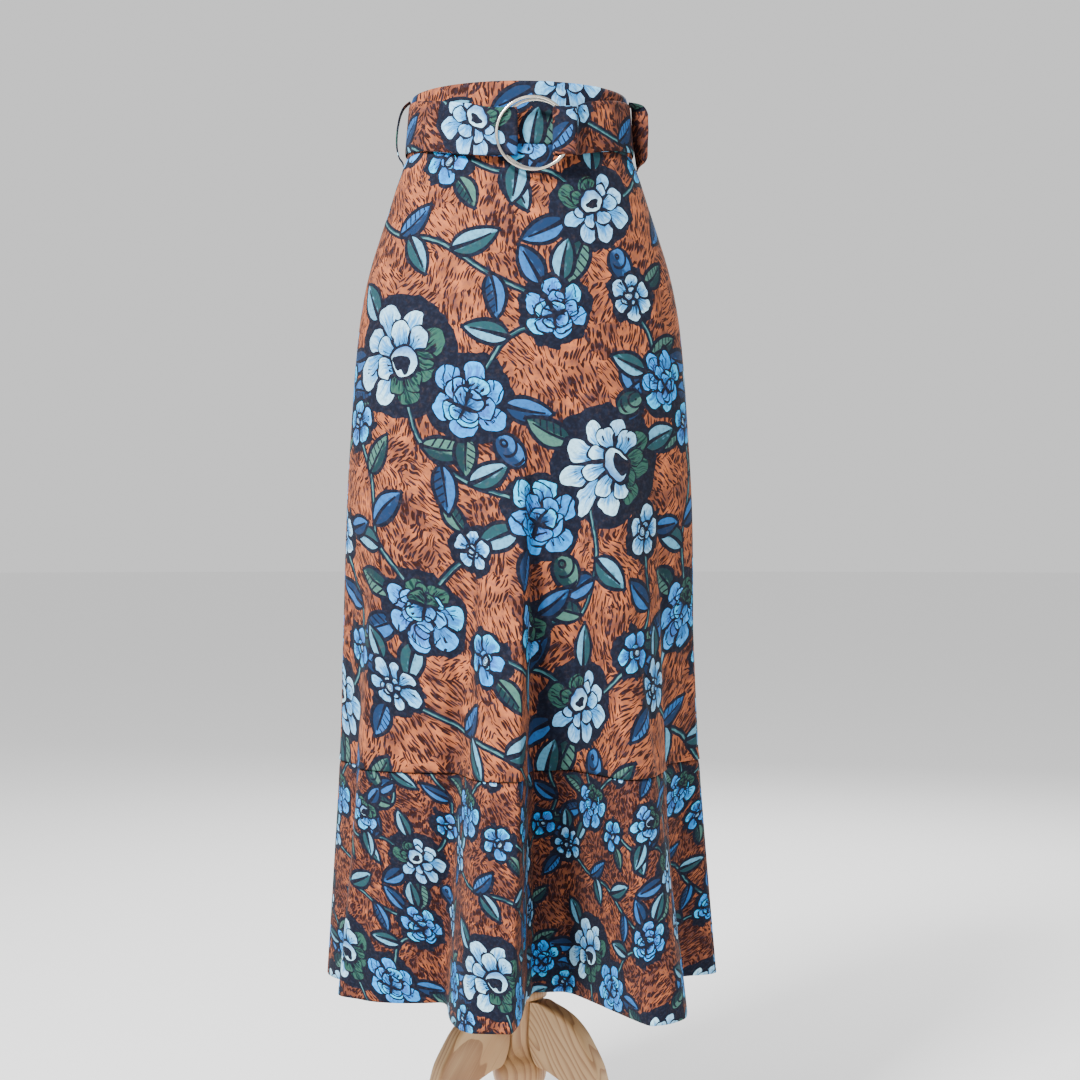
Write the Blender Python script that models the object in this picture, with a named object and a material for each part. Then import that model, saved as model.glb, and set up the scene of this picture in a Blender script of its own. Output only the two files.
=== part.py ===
"""An ankle-length A-line skirt with a flounce and a double-ring belt, worn by a hip form on a wooden tripod.

Metres, +Z up, the front faces -Y. The origin is on the floor, under the middle of the stand.
Run it with: blender --background --python part.py
"""

import math

import bmesh
import bpy
import numpy as np
from mathutils import Matrix

# ---------------------------------------------------------------- driving sizes, in metres
SEAM_GAP = 0.0003  # between pieces that are sewn or glued together

HEM_HEIGHT = 0.242  # from the floor to the hem
SKIRT_LENGTH = 0.915  # from the waist edge to the hem
FLOUNCE_DEPTH = 0.2235
WAISTBAND_DEPTH = 0.064
CLOTH = 0.0015  # cotton cloth with its hems and seam allowances
WAISTBAND_CLOTH = 0.0020  # two layers
SIDE_SEAM_DEG = 86.0  # the side seams, measured round from the centre front

WAIST_EDGE = HEM_HEIGHT + SKIRT_LENGTH
WAIST_SEAM = WAIST_EDGE - WAISTBAND_DEPTH
FLOUNCE_SEAM = HEM_HEIGHT + FLOUNCE_DEPTH

BELT_WIDTH = 0.052
BELT_THICK = 0.0016
BELT_EASE = 0.0010  # between the belt and the cloth under it
BELT_SIDE_HEIGHT = 1.1245  # the belt's middle, at the sides and back
BELT_FRONT_DIP = 0.0215  # the rings pull the belt down at the front
BUCKLE_WIDTH = 0.048  # of the belt, gathered at the rings

RING_RADII = (0.0363, 0.0345)  # of the wire's own centreline, for the front ring and the rear one
RING_WIRE = 0.0016  # the wire's radius
RING_FRONT_X = 0.0145
RING_REAR_X = 0.0170
RING_DROP = 0.0024  # from the belt's middle to the rings' middle
BUCKLE_BACK = -0.1000  # where the flat stretch of belt behind the rings starts
LONGEST_STEP = 0.015  # between two sections of the belt

FORM_EASE = 0.0024  # from the cloth's outside to the form
FORM_BOTTOM = 0.738
POLE_RADIUS = 0.0125
POST_TOP = 0.225
LEG_THICK = 0.024

# ---------------------------------------------------------------- the shape of the cloth
# One row for each level section of the cloth's outside, before its folds.
SECTION_COLUMNS = ("height", "half_width", "half_depth", "back_shift")
SECTIONS = (
    (1.157, 0.1135, 0.0925, 0.000),
    (1.125, 0.1150, 0.0930, 0.000),
    (1.093, 0.1195, 0.0955, 0.001),
    (1.074, 0.1265, 0.1000, 0.002),
    (1.045, 0.1360, 0.1055, 0.004),
    (1.015, 0.1460, 0.1110, 0.006),
    (0.980, 0.1570, 0.1160, 0.008),
    (0.930, 0.1675, 0.1210, 0.009),
    (0.880, 0.1730, 0.1230, 0.008),
    (0.820, 0.1770, 0.1235, 0.006),
    (0.740, 0.1815, 0.1240, 0.004),
    (0.600, 0.1830, 0.1250, 0.002),
    (0.465, 0.1835, 0.1265, 0.000),
    (0.350, 0.1870, 0.1285, 0.000),
    (0.242, 0.1910, 0.1300, 0.000),
)

# One row for each fold that falls from the hips. Angles are in degrees round from the centre front, positive towards
# +X. A crest runs between two angles, each flank falls away over its own angle, and reach is how far the fold stands
# out at the hem, or in where it is negative. It starts at its own height, turned by drift from where it ends, and its
# crest leans sideways over its foot by the degrees in the last column.
FOLD_COLUMNS = ("name", "crest_from", "crest_to", "left_flank", "right_flank", "reach", "start", "drift", "lean")
FOLDS = (
    ("left_corner", -56.0, -49.0, 16.0, 40.0, 0.046, 0.80, 0.0, 0.0),
    ("centre_ridge", -8.0, -1.0, 21.0, 5.0, 0.131, 0.80, 3.0, 0.0),
    ("front_hollow", 9.0, 24.0, 6.0, 8.0, -0.030, 0.80, 0.0, 0.0),
    ("right_ridge", 32.0, 34.0, 5.0, 32.0, 0.123, 0.86, 0.0, -3.5),
    ("side_hollow", 70.0, 78.0, 12.0, 8.0, -0.018, 0.80, 0.0, 0.0),
    ("side_ridge", 87.0, 92.0, 8.0, 16.0, 0.016, 0.60, 0.0, 0.0),
    ("back_right_ridge", 127.0, 138.0, 20.0, 14.0, 0.070, 0.84, -4.0, 0.0),
    ("back_hollow", 148.0, 160.0, 10.0, 10.0, -0.016, 0.80, 0.0, 0.0),
    ("back_ridge", 176.0, 184.0, 14.0, 20.0, 0.131, 0.86, 2.0, 2.0),
    ("left_hollow", 206.0, 216.0, 10.0, 8.0, -0.012, 0.80, 0.0, 0.0),
    ("back_left_ridge", 227.0, 236.0, 13.0, 18.0, 0.076, 0.84, 4.0, 0.0),
    ("left_swell", 262.0, 272.0, 14.0, 20.0, 0.011, 0.72, 0.0, 0.0),
)

DENSE_STEP_DEG = 0.25  # the spacing of the points that lengths are measured on


def column(table, columns, name):
    """One named column of a table, as an array."""
    return np.array([row[columns.index(name)] for row in table], float)


def eased(heights, name):
    """A section size at these heights: a cubic through the table's rows, with each row's slope from its neighbours."""
    rows_z = column(SECTIONS, SECTION_COLUMNS, "height")[::-1]
    rows_v = column(SECTIONS, SECTION_COLUMNS, name)[::-1]
    slopes = np.gradient(rows_v, rows_z)
    z = np.clip(heights, rows_z[0], rows_z[-1])
    i = np.clip(np.searchsorted(rows_z, z) - 1, 0, len(rows_z) - 2)
    span = rows_z[i + 1] - rows_z[i]
    t = (z - rows_z[i]) / span
    return (
        rows_v[i] * (1 + 2 * t) * (1 - t) ** 2
        + rows_v[i + 1] * t**2 * (3 - 2 * t)
        + span * (slopes[i] * t * (1 - t) ** 2 - slopes[i + 1] * t**2 * (1 - t))
    )


def smooth(t):
    t = np.clip(t, 0.0, 1.0)
    return t * t * (3.0 - 2.0 * t)


def folds_at(angle_deg, height):
    """How far all folds together stand out at these angles, and the degrees that they lean sideways there. Each fold
    has a level crest with a smooth flank on each side."""
    reach_out, leaning = np.zeros_like(angle_deg), np.zeros_like(angle_deg)
    for _, crest_from, crest_to, left, right, reach, start, drift, lean in FOLDS:
        grown = max(0.0, (start - height) / (start - HEM_HEIGHT)) ** 1.1
        middle = 0.5 * (crest_from + crest_to) + drift * (1.0 - grown)
        half = 0.5 * (crest_to - crest_from)
        away = (angle_deg - middle + 180.0) % 360.0 - 180.0
        flank = np.where(away < 0.0, left, right)
        share = grown * (1.0 - smooth((np.abs(away) - half) / flank))
        reach_out += reach * share
        leaning += lean * share
    return reach_out, leaning


def section(angle_deg, height, folded=True):
    """Points of the level section at these angles: an ellipse's radius, plus the folds' reach."""
    angle = np.radians(angle_deg)
    half_width, half_depth, shift = (eased(height, n) for n in SECTION_COLUMNS[1:])
    radius = 1.0 / np.sqrt((np.sin(angle) / half_width) ** 2 + (np.cos(angle) / half_depth) ** 2)
    if folded:
        reach_out, leaning = folds_at(angle_deg, height)
        radius = radius + reach_out
        angle = angle + np.radians(leaning)
    return np.stack([radius * np.sin(angle), shift - radius * np.cos(angle)], axis=-1)


def strip(height, from_deg, to_deg, count, folded=True):
    """count + 1 points, evenly spaced along a level section between two seams, and their outward normals."""
    dense = np.arange(from_deg, to_deg + DENSE_STEP_DEG / 2, DENSE_STEP_DEG)
    points = section(dense, height, folded)
    tangents = np.gradient(points, axis=0)
    normals = np.stack([tangents[:, 1], -tangents[:, 0]], axis=-1)
    normals /= np.linalg.norm(normals, axis=1, keepdims=True)
    run = np.concatenate([[0.0], np.cumsum(np.linalg.norm(np.diff(points, axis=0), axis=1))])
    wanted = np.linspace(SEAM_GAP / 2, run[-1] - SEAM_GAP / 2, count + 1)
    at = [np.interp(wanted, run, values) for values in (*points.T, *normals.T)]
    normals = np.stack(at[2:], axis=-1)
    return np.stack(at[:2], axis=-1), normals / np.linalg.norm(normals, axis=1, keepdims=True)


# ---------------------------------------------------------------- making meshes
def add_object(name, vertices, faces, material, smooth_angle=math.radians(40.0)):
    """A named object from points and faces, shaded smooth up to an angle."""
    mesh = bpy.data.meshes.new(name)
    mesh.from_pydata([tuple(map(float, v)) for v in vertices], [], faces)
    outward = bmesh.new()
    outward.from_mesh(mesh)
    bmesh.ops.recalc_face_normals(outward, faces=outward.faces[:])
    outward.to_mesh(mesh)
    outward.free()
    mesh.materials.append(material)
    mesh.shade_smooth()
    mesh.set_sharp_from_angle(angle=smooth_angle)
    made = bpy.data.objects.new(name, mesh)
    bpy.context.scene.collection.objects.link(made)
    return made


def make_material(name, colour, roughness, metallic=0.0):
    material = bpy.data.materials.new(name)
    material.use_nodes = True
    shader = material.node_tree.nodes["Principled BSDF"]
    shader.inputs["Base Color"].default_value = (*colour, 1.0)
    shader.inputs["Roughness"].default_value = roughness
    shader.inputs["Metallic"].default_value = metallic
    return material


def wall(name, heights, from_deg, to_deg, count, thick, material):
    """A panel of cloth between two seams: its outside is the sections, and its inside lies one thickness in."""
    rows = [strip(z, from_deg, to_deg, count) for z in heights]
    outer = [(*p, z) for (points, _), z in zip(rows, heights) for p in points]
    inner = [(*(p - n * thick), z) for (points, normals), z in zip(rows, heights) for p, n in zip(points, normals)]
    wide, tall, inside = count + 1, len(heights), len(outer)

    def quad(a, b, c, d):
        return [(a, b, c), (a, c, d)]

    faces = []
    for r in range(tall - 1):
        for c in range(count):
            a = r * wide + c
            b = a + wide
            faces += quad(a, b, b + 1, a + 1)
            faces += [tuple(inside + i for i in reversed(f)) for f in quad(a, b, b + 1, a + 1)]
    for c in range(count):
        low = (tall - 1) * wide + c
        faces += quad(c, c + 1, inside + c + 1, inside + c)
        faces += quad(low + 1, low, inside + low, inside + low + 1)
    for r in range(tall - 1):
        a = r * wide
        b = a + count
        faces += quad(a + wide, a, inside + a, inside + a + wide)
        faces += quad(b, b + wide, inside + b + wide, inside + b)
    return add_object(name, outer + inner, faces, material)


def stacked_rings(name, rings, material):
    """A closed solid through level rings of equal point counts, listed from the top down, with flat ends."""
    count = len(rings[0])
    faces = [tuple(range(count)), tuple(reversed(range(len(rings) * count - count, len(rings) * count)))]
    for r in range(len(rings) - 1):
        for c in range(count):
            d = (c + 1) % count
            faces.append((r * count + c, (r + 1) * count + c, (r + 1) * count + d, r * count + d))
    return add_object(name, [p for ring in rings for p in ring], faces, material)


def turned(name, profile, segments, material):
    """A lathe-turned solid: profile rows are (radius, height) from the top down."""
    angles = [2.0 * math.pi * i / segments for i in range(segments)]
    rings = [[(r * math.cos(a), r * math.sin(a), z) for a in angles] for r, z in profile]
    return stacked_rings(name, rings, material)


def ribbon(name, top_edge, bottom_edge, thick, sideways, material):
    """A strap of cloth along two edges, half its thickness to each side of them. Both faces are split along the same
    diagonals, so that they stay one thickness apart where the strap twists."""
    top_edge, bottom_edge, sideways = map(np.asarray, (top_edge, bottom_edge, sideways))
    step = 0.5 * thick * sideways
    corners = np.stack([bottom_edge - step, top_edge - step, top_edge + step, bottom_edge + step], axis=1)
    last = 4 * len(corners) - 4
    faces = [(0, 1, 2, 3), (last + 3, last + 2, last + 1, last)]
    for a in range(0, last, 4):
        b = a + 4
        faces += [(a, b, b + 1), (a, b + 1, a + 1), (a + 2, b + 2, a + 3), (b + 2, b + 3, a + 3)]
        faces += [(a + 1, b + 1, b + 2, a + 2), (a + 3, b + 3, b, a)]
    return add_object(name, corners.reshape(-1, 3), faces, material)


def sideways_of(points):
    """Unit vectors across a path in plan, on its right-hand side as it is followed."""
    along = np.gradient(np.asarray(points)[:, :2], axis=0)
    along /= np.linalg.norm(along, axis=1, keepdims=True)
    return np.stack([along[:, 1], -along[:, 0], np.zeros(len(along))], axis=-1)


# ---------------------------------------------------------------- the cloth
BODY_ROWS = [WAIST_SEAM] + [row[0] for row in SECTIONS[3:11]] + [0.668, 0.600, 0.530] + [FLOUNCE_SEAM + SEAM_GAP / 2]
FLOUNCE_ROWS = [FLOUNCE_SEAM - SEAM_GAP / 2, 0.405, 0.350, 0.296, HEM_HEIGHT]
WAISTBAND_ROWS = [WAIST_EDGE, 1.125, WAIST_SEAM + SEAM_GAP]


def make_skirt(cotton):
    """The front, the two back panels that meet at the centre back, the two flounces and the waistband."""
    side = SIDE_SEAM_DEG
    wall("skirt_front", BODY_ROWS, -side, side, 72, CLOTH, cotton)
    wall("skirt_back_right", BODY_ROWS, side, 180.0, 32, CLOTH, cotton)
    wall("skirt_back_left", BODY_ROWS, 180.0, 360.0 - side, 32, CLOTH, cotton)
    wall("flounce_front", FLOUNCE_ROWS, -side, side, 72, CLOTH, cotton)
    wall("flounce_back", FLOUNCE_ROWS, side, 360.0 - side, 64, CLOTH, cotton)
    wall("waistband", WAISTBAND_ROWS, -180.0, 180.0, 64, WAISTBAND_CLOTH, cotton)


# ---------------------------------------------------------------- the belt, its rings and its loops
def belt_height(angle_deg):
    """The belt's middle: level round the back, and dipping towards the centre front."""
    front = np.clip(np.cos(np.radians(angle_deg)), 0.0, 1.0)
    return BELT_SIDE_HEIGHT - BELT_FRONT_DIP * front**2


def belt_edges(angles_deg, outward):
    """The belt's top and bottom edges where it follows the waist, this far out from the cloth."""
    edges = []
    for half in (BELT_WIDTH / 2, -BELT_WIDTH / 2):
        points = []
        for angle in angles_deg:
            z = float(belt_height(angle)) + half
            near = section(np.array([angle - 0.5, angle, angle + 0.5]), z, folded=False)
            along = near[2] - near[0]
            normal = np.array([along[1], -along[0]]) / np.linalg.norm(along)
            points.append((*(near[1] + normal * outward), z))
        edges.append(np.array(points))
    return edges


def flat_edges(points):
    """The belt's edges where it stands upright at the buckle, along a path in plan."""
    z = BELT_SIDE_HEIGHT - BELT_FRONT_DIP
    return [np.array([(x, y, z + half) for x, y in points]) for half in (BUCKLE_WIDTH / 2, -BUCKLE_WIDTH / 2)]


def between(first, last, share, outward):
    """The edges this share of the way from one section to another, set out from the straight line between them."""
    edges = []
    for a, b in zip(first, last):
        along = b[0] - a[-1]
        normal = np.array([along[1], -along[0], 0.0]) / np.hypot(along[0], along[1])
        edges.append(np.array([a[-1] + along * share + normal * outward]))
    return edges


def arc(centre, radius, from_deg, to_deg, steps):
    angles = np.radians(np.linspace(from_deg, to_deg, steps))
    return [(centre[0] + radius * math.cos(a), centre[1] + radius * math.sin(a)) for a in angles]


def joined(*runs):
    """Several runs of edges as one pair of edges, with more sections put in wherever two lie far apart."""
    edges = [np.concatenate([run[i] for run in runs]) for i in (0, 1)]
    lengths = np.linalg.norm(np.diff(edges[0], axis=0), axis=1)
    steps = np.ceil(lengths / LONGEST_STEP).astype(int)
    finer = [i + k / count for i, count in enumerate(steps) for k in range(count)] + [len(lengths)]
    return [np.stack([np.interp(finer, range(len(edge)), edge[:, k]) for k in range(3)], axis=1) for edge in edges]


def make_belt(cotton):
    """One strap: a stitched tail, a turn through both rings, the way round the waist, a turn back over the rear ring
    and under the front one, and the free end lying on the belt."""
    half = BELT_THICK / 2
    base = BUCKLE_BACK - half  # the belt's middle behind the rings
    rear_ring = BUCKLE_BACK - BELT_THICK - SEAM_GAP - RING_WIRE
    returned = rear_ring - RING_WIRE - SEAM_GAP - half
    front_ring = returned - half - SEAM_GAP - RING_WIRE
    over = front_ring - RING_WIRE - SEAM_GAP - half

    corner = 0.0025  # of the turn through both rings, at the right
    turn_x = RING_FRONT_X + 0.0207
    right_turn = (
        [(turn_x + 0.014, base), (turn_x + 0.008, base)]
        + arc((turn_x + corner, base - corner), corner, 90.0, 180.0, 4)
        + arc((turn_x + corner, over + corner), corner, 180.0, 270.0, 4)
        + [(turn_x + 0.008, over)]
        + arc((turn_x + 0.0193, over + 0.002), 0.002, 270.0, 330.0, 3)
    )
    behind = flat_edges([(turn_x + 0.014, base)])
    fold = (returned - base) / -2  # the radius of the turn round the rear ring, at the left
    fold_x = RING_REAR_X - 0.0211
    left_turn = (
        [(fold_x - 0.023, base), (fold_x - 0.008, base)]
        + arc((fold_x, base - fold), fold, 90.0, -90.0, 7)
        + [(fold_x - 0.008, returned), (fold_x - 0.0189, returned)]
    )
    close = BELT_EASE + half
    layer = BELT_THICK + SEAM_GAP
    edges = joined(
        belt_edges(np.linspace(58.0, 42.0, 4), close),
        flat_edges(right_turn),
        between(behind, belt_edges([42.0], close), 0.42, 1.5 * layer),
        belt_edges([42.0], close + 1.4 * layer),
        belt_edges([48.0, 54.0], close + 1.15 * layer),
        belt_edges([61.0], close + 0.9 * layer),
        belt_edges(np.arange(68.0, 316.0, 7.0), close),
        belt_edges([-38.0], close + 0.5 * layer),
        belt_edges([-31.0], close + 1.2 * layer),
        flat_edges(left_turn),
        belt_edges([-31.0], close + 2.9 * layer),
        belt_edges([-38.0], close + 1.7 * layer),
        belt_edges(np.linspace(-44.0, -58.0, 3), close + layer),
    )
    ribbon("belt", *edges, BELT_THICK, sideways_of((edges[0] + edges[1]) / 2), cotton)
    z = BELT_SIDE_HEIGHT - BELT_FRONT_DIP - RING_DROP
    return (RING_FRONT_X, front_ring, z), (RING_REAR_X, rear_ring, z)


def make_ring(name, centre, radius, metal):
    """A welded wire ring that stands upright, facing the front."""
    bpy.ops.mesh.primitive_torus_add(
        major_radius=radius,
        minor_radius=RING_WIRE,
        major_segments=32,
        minor_segments=8,
        location=centre,
        rotation=(math.radians(90.0), 0.0, 0.0),
    )
    ring = bpy.context.object
    ring.name = name
    ring.data.name = name
    ring.data.materials.append(metal)
    ring.data.shade_smooth()


# The belt loops, from top seam to bottom seam: the height, how far the loop's middle stands out from the waistband, and
# its twist in degrees.
LOOP_COLUMNS = ("height", "stand_out", "twist")
LEFT_LOOP_ROWS = (
    (1.1560, 0.0012, 0.0),
    (1.1545, 0.0034, 0.0),
    (1.1495, 0.0082, 0.0),
    (1.1420, 0.0114, 0.0),
    (1.1320, 0.0132, 0.0),
    (1.1220, 0.0138, 0.0),
    (1.1120, 0.0132, 0.0),
    (1.1030, 0.0110, 0.0),
    (1.0965, 0.0076, 0.0),
    (1.0925, 0.0036, 0.0),
    (1.0890, 0.0014, 0.0),
)
RIGHT_LOOP_ROWS = (
    (1.1532, 0.0012, 0.0),
    (1.1524, 0.0050, 12.0),
    (1.1500, 0.0100, 36.0),
    (1.1440, 0.0122, 52.0),
    (1.1340, 0.0124, 55.0),
    (1.1240, 0.0122, 54.0),
    (1.1140, 0.0114, 48.0),
    (1.1040, 0.0107, 42.0),
    (1.0960, 0.0096, 36.0),
    (1.0910, 0.0074, 26.0),
    (1.0875, 0.0042, 10.0),
    (1.0845, 0.0014, 0.0),
)
LOOP_TABLE_COLUMNS = ("name", "rows", "angle", "width")
LOOPS = (
    ("loop_left", LEFT_LOOP_ROWS, -90.0, 0.010),
    ("loop_right", RIGHT_LOOP_ROWS, 89.0, 0.021),
)


def make_loops(cotton):
    """The two cloth loops at the side seams. The right one is twisted, so that its face shows from the front."""
    for name, rows, angle, width in LOOPS:
        edges = []
        for side in (1.0, -1.0):
            points = []
            for z, stand_out, twist in rows:
                near = section(np.array([angle - 0.5, angle, angle + 0.5]), z, folded=False)
                along = (near[2] - near[0]) / np.linalg.norm(near[2] - near[0])
                normal = np.array([along[1], -along[0]])
                turn = math.radians(twist)
                across = along * math.cos(turn) + normal * math.sin(turn) * -1.0
                points.append((*(near[1] + normal * stand_out + across * side * width / 2), z))
            edges.append(np.array(points))
        middle = (edges[0] + edges[1]) / 2
        down = np.gradient(middle, axis=0)
        thickness = np.cross(edges[0] - edges[1], down)
        thickness /= np.linalg.norm(thickness, axis=1, keepdims=True)
        ribbon(name, edges[0], edges[1], BELT_THICK, thickness, cotton)


# ---------------------------------------------------------------- the form and its stand
# The form's rows: heights, and how far each lies inside the cloth's section beyond its ease.
FORM_COLUMNS = ("height", "inset")
FORM_ROWS = (
    (1.1500, 0.0200),
    (1.1490, 0.0060),
    (1.1450, 0.0010),
    (1.1250, 0.0000),
    (1.0930, 0.0000),
    (1.0740, 0.0000),
    (1.0450, 0.0000),
    (1.0150, 0.0000),
    (0.9800, 0.0000),
    (0.9300, 0.0000),
    (0.8800, 0.0002),
    (0.8200, 0.0030),
    (0.7800, 0.0120),
    (0.7560, 0.0240),
    (0.7420, 0.0400),
    (FORM_BOTTOM, 0.0600),
)
FORM_SEGMENTS = 44

POST_PROFILE = (
    (0.0265, POST_TOP),
    (0.0290, POST_TOP - 0.0020),
    (0.0290, POST_TOP - 0.0075),
    (0.0265, POST_TOP - 0.0100),
    (0.0195, POST_TOP - 0.0104),
    (0.0195, 0.1640),
    (0.0215, 0.1570),
    (0.0265, 0.1480),
    (0.0285, 0.1390),
    (0.0270, 0.1290),
    (0.0215, 0.1180),
    (0.0150, 0.1110),
    (0.0120, 0.1060),
)

# The outline of a leg in its own upright plane: its upper edge out to the foot, then its lower edge back.
LEG_COLUMNS = ("reach", "height")
LEG_UPPER = (
    (0.0300, 0.2125),
    (0.0460, 0.2080),
    (0.0610, 0.2005),
    (0.0760, 0.1870),
    (0.0876, 0.1700),
    (0.0966, 0.1540),
    (0.1030, 0.1340),
    (0.1110, 0.1100),
    (0.1240, 0.0800),
    (0.1450, 0.0530),
    (0.1740, 0.0340),
    (0.2100, 0.0240),
    (0.2320, 0.0200),
    (0.2400, 0.0110),
    (0.2380, 0.0000),
)
LEG_LOWER = (
    (0.2000, 0.0000),
    (0.1750, 0.0060),
    (0.1450, 0.0190),
    (0.1180, 0.0400),
    (0.0980, 0.0650),
    (0.0860, 0.0930),
    (0.0740, 0.1160),
    (0.0560, 0.1330),
    (0.0370, 0.1430),
)
LEGS = (("leg_right", 60.0), ("leg_left", -60.0), ("leg_back", 180.0))


def make_form(linen):
    """The hip form: the cloth's own sections without folds, drawn in, and rounded off at the waist and below the hips."""
    rings = []
    for height, inset in FORM_ROWS:
        points, normals = strip(height, 0.0, 360.0, FORM_SEGMENTS, folded=False)
        drawn_in = points[:-1] - normals[:-1] * (FORM_EASE + inset)
        rings.append([(x, y, height) for x, y in drawn_in])
    stacked_rings("form", rings, linen)


def make_leg(name, azimuth_deg, wood):
    """A leg sawn from a plank, with its edges rounded. Its own X axis runs out from the post."""
    against_post = [(r + SEAM_GAP, z) for r, z in POST_PROFILE if 0.145 < z < 0.165]
    top = (against_post[0][0], 0.2125)
    outline = [top, *LEG_UPPER, *LEG_LOWER, *reversed(against_post)]
    mesh = bmesh.new()
    side = mesh.faces.new([mesh.verts.new((reach, -LEG_THICK / 2, z)) for reach, z in outline])
    extruded = bmesh.ops.extrude_face_region(mesh, geom=[side])
    moved = [v for v in extruded["geom"] if isinstance(v, bmesh.types.BMVert)]
    bmesh.ops.translate(mesh, verts=moved, vec=(0.0, LEG_THICK, 0.0))
    bmesh.ops.recalc_face_normals(mesh, faces=mesh.faces[:])
    # -Y is the front, so an azimuth of 0 points the leg that way.
    mesh.transform(Matrix.Rotation(math.radians(azimuth_deg - 90.0), 4, "Z"))
    data = bpy.data.meshes.new(name)
    mesh.to_mesh(data)
    mesh.free()
    data.materials.append(wood)
    data.shade_smooth()
    data.set_sharp_from_angle(angle=math.radians(35.0))
    leg = bpy.data.objects.new(name, data)
    bpy.context.scene.collection.objects.link(leg)
    bevel = leg.modifiers.new("rounded_edges", "BEVEL")
    bevel.width = 0.003
    bevel.segments = 1
    bevel.limit_method = "ANGLE"
    bevel.angle_limit = math.radians(60.0)


def make_stand(wood):
    """The pole, the turned post with its collar, and three legs."""
    turned("post", POST_PROFILE, 20, wood)
    turned("pole", ((POLE_RADIUS, FORM_BOTTOM - SEAM_GAP), (POLE_RADIUS, POST_TOP + SEAM_GAP)), 20, wood)
    for name, azimuth in LEGS:
        make_leg(name, azimuth, wood)


def main():
    for old in list(bpy.data.objects):
        bpy.data.objects.remove(old)
    cotton = make_material("printed_cotton", (0.42, 0.13, 0.045), 0.85)
    metal = make_material("nickel", (0.74, 0.71, 0.64), 0.25, 1.0)
    linen = make_material("linen", (0.80, 0.76, 0.68), 0.90)
    wood = make_material("pale_wood", (0.62, 0.42, 0.22), 0.45)
    make_skirt(cotton)
    front_ring, rear_ring = make_belt(cotton)
    make_ring("ring_front", front_ring, RING_RADII[0], metal)
    make_ring("ring_rear", rear_ring, RING_RADII[1], metal)
    make_loops(cotton)
    make_form(linen)
    make_stand(wood)


main()
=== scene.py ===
"""The looks of an ankle-length A-line skirt with a double-ring belt, on a hip form with a wooden tripod.

Every piece is a surface worked out as whole arrays and placed in the frame's own metres: +Z up, the front
faces -Y."""

import math

import bmesh
import bpy
import numpy as np
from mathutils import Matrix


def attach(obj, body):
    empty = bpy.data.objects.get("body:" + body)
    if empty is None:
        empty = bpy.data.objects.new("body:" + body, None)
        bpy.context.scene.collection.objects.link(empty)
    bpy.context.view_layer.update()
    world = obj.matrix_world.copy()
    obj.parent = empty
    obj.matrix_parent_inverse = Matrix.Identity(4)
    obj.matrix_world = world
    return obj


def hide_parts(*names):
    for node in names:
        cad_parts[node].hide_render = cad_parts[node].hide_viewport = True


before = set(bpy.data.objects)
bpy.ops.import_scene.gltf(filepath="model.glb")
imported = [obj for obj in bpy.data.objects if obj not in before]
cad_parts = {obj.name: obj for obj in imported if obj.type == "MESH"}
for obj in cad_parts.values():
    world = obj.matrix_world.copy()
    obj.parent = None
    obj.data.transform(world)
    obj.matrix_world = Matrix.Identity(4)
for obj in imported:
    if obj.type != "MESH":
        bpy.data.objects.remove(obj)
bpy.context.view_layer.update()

# -------- the studio
# A level camera two metres in front of the skirt, at half its height, over a plain pale floor. The light is
# soft: a broad lamp at the upper left, a weaker one at the right, one behind, and a white sky.
CAMERA_AT = (0.0216, -2.0, 0.695)
CAMERA_LENS, CAMERA_SENSOR = 63.27, 36.0  # in millimetres
LAMPS = (  # place, width, power
    ((-1.15, -1.9, 2.6), 0.6, 225.0),
    ((2.4, -1.9, 1.4), 1.8, 18.0),
    ((0.6, 2.4, 2.3), 1.6, 80.0),
)
LAMPS_FACE = np.array((0.0, 0.0, 0.65))
SKY_STRENGTH = 0.9
FLOOR_GREY, FLOOR_RADIUS, FLOOR_SIDES = 0.90, 40.0, 96

camera = bpy.data.objects.new("camera", bpy.data.cameras.new("camera"))
bpy.context.scene.collection.objects.link(camera)
camera.location = CAMERA_AT
camera.rotation_euler = (math.radians(90.0), 0.0, 0.0)
camera.data.lens, camera.data.sensor_width = CAMERA_LENS, CAMERA_SENSOR
bpy.context.scene.camera = camera

for number, (place, width, power) in enumerate(LAMPS):
    lamp = bpy.data.objects.new(f"lamp_{number}", bpy.data.lights.new(f"lamp_{number}", "AREA"))
    bpy.context.scene.collection.objects.link(lamp)
    lamp.data.size, lamp.data.energy = width, power
    x, y, z = LAMPS_FACE - np.array(place)
    lamp.location = place
    lamp.rotation_euler = (math.atan2(math.hypot(x, y), -z), 0.0, math.atan2(y, x) - math.radians(90.0))

world = bpy.data.worlds.new("white_sky")
world.use_nodes = True
bpy.context.scene.world = world


def feed(node, inputs):
    """Links fields and outputs to a node's inputs, and sets the others' numbers and colours."""
    for label, value in inputs.items():
        socket, value = node.inputs[label], getattr(value, "socket", value)
        if isinstance(value, bpy.types.NodeSocket):
            socket.id_data.links.new(value, socket)
        else:
            socket.default_value = (*value, 1.0) if isinstance(value, tuple) else value


def new_piece(name, points, faces, *materials):
    """A shown mesh at the origin from an array of points and a list of faces, shaded smooth."""
    mesh = bpy.data.meshes.new(name)
    mesh.from_pydata(points.reshape(-1, 3), [], faces)
    for material in materials:
        mesh.materials.append(material)
    mesh.shade_smooth()
    made = bpy.data.objects.new(name, mesh)
    bpy.context.scene.collection.objects.link(made)
    return made


def plain_material(name, colour, roughness, metallic=0.0):
    """A Principled material with its nodes ready for more: the material, its node tree and its shader."""
    material = bpy.data.materials.new(name)
    material.use_nodes = True
    shader = material.node_tree.nodes["Principled BSDF"]
    feed(shader, {"Base Color": colour, "Roughness": roughness, "Metallic": metallic})
    return material, material.node_tree, shader


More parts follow.
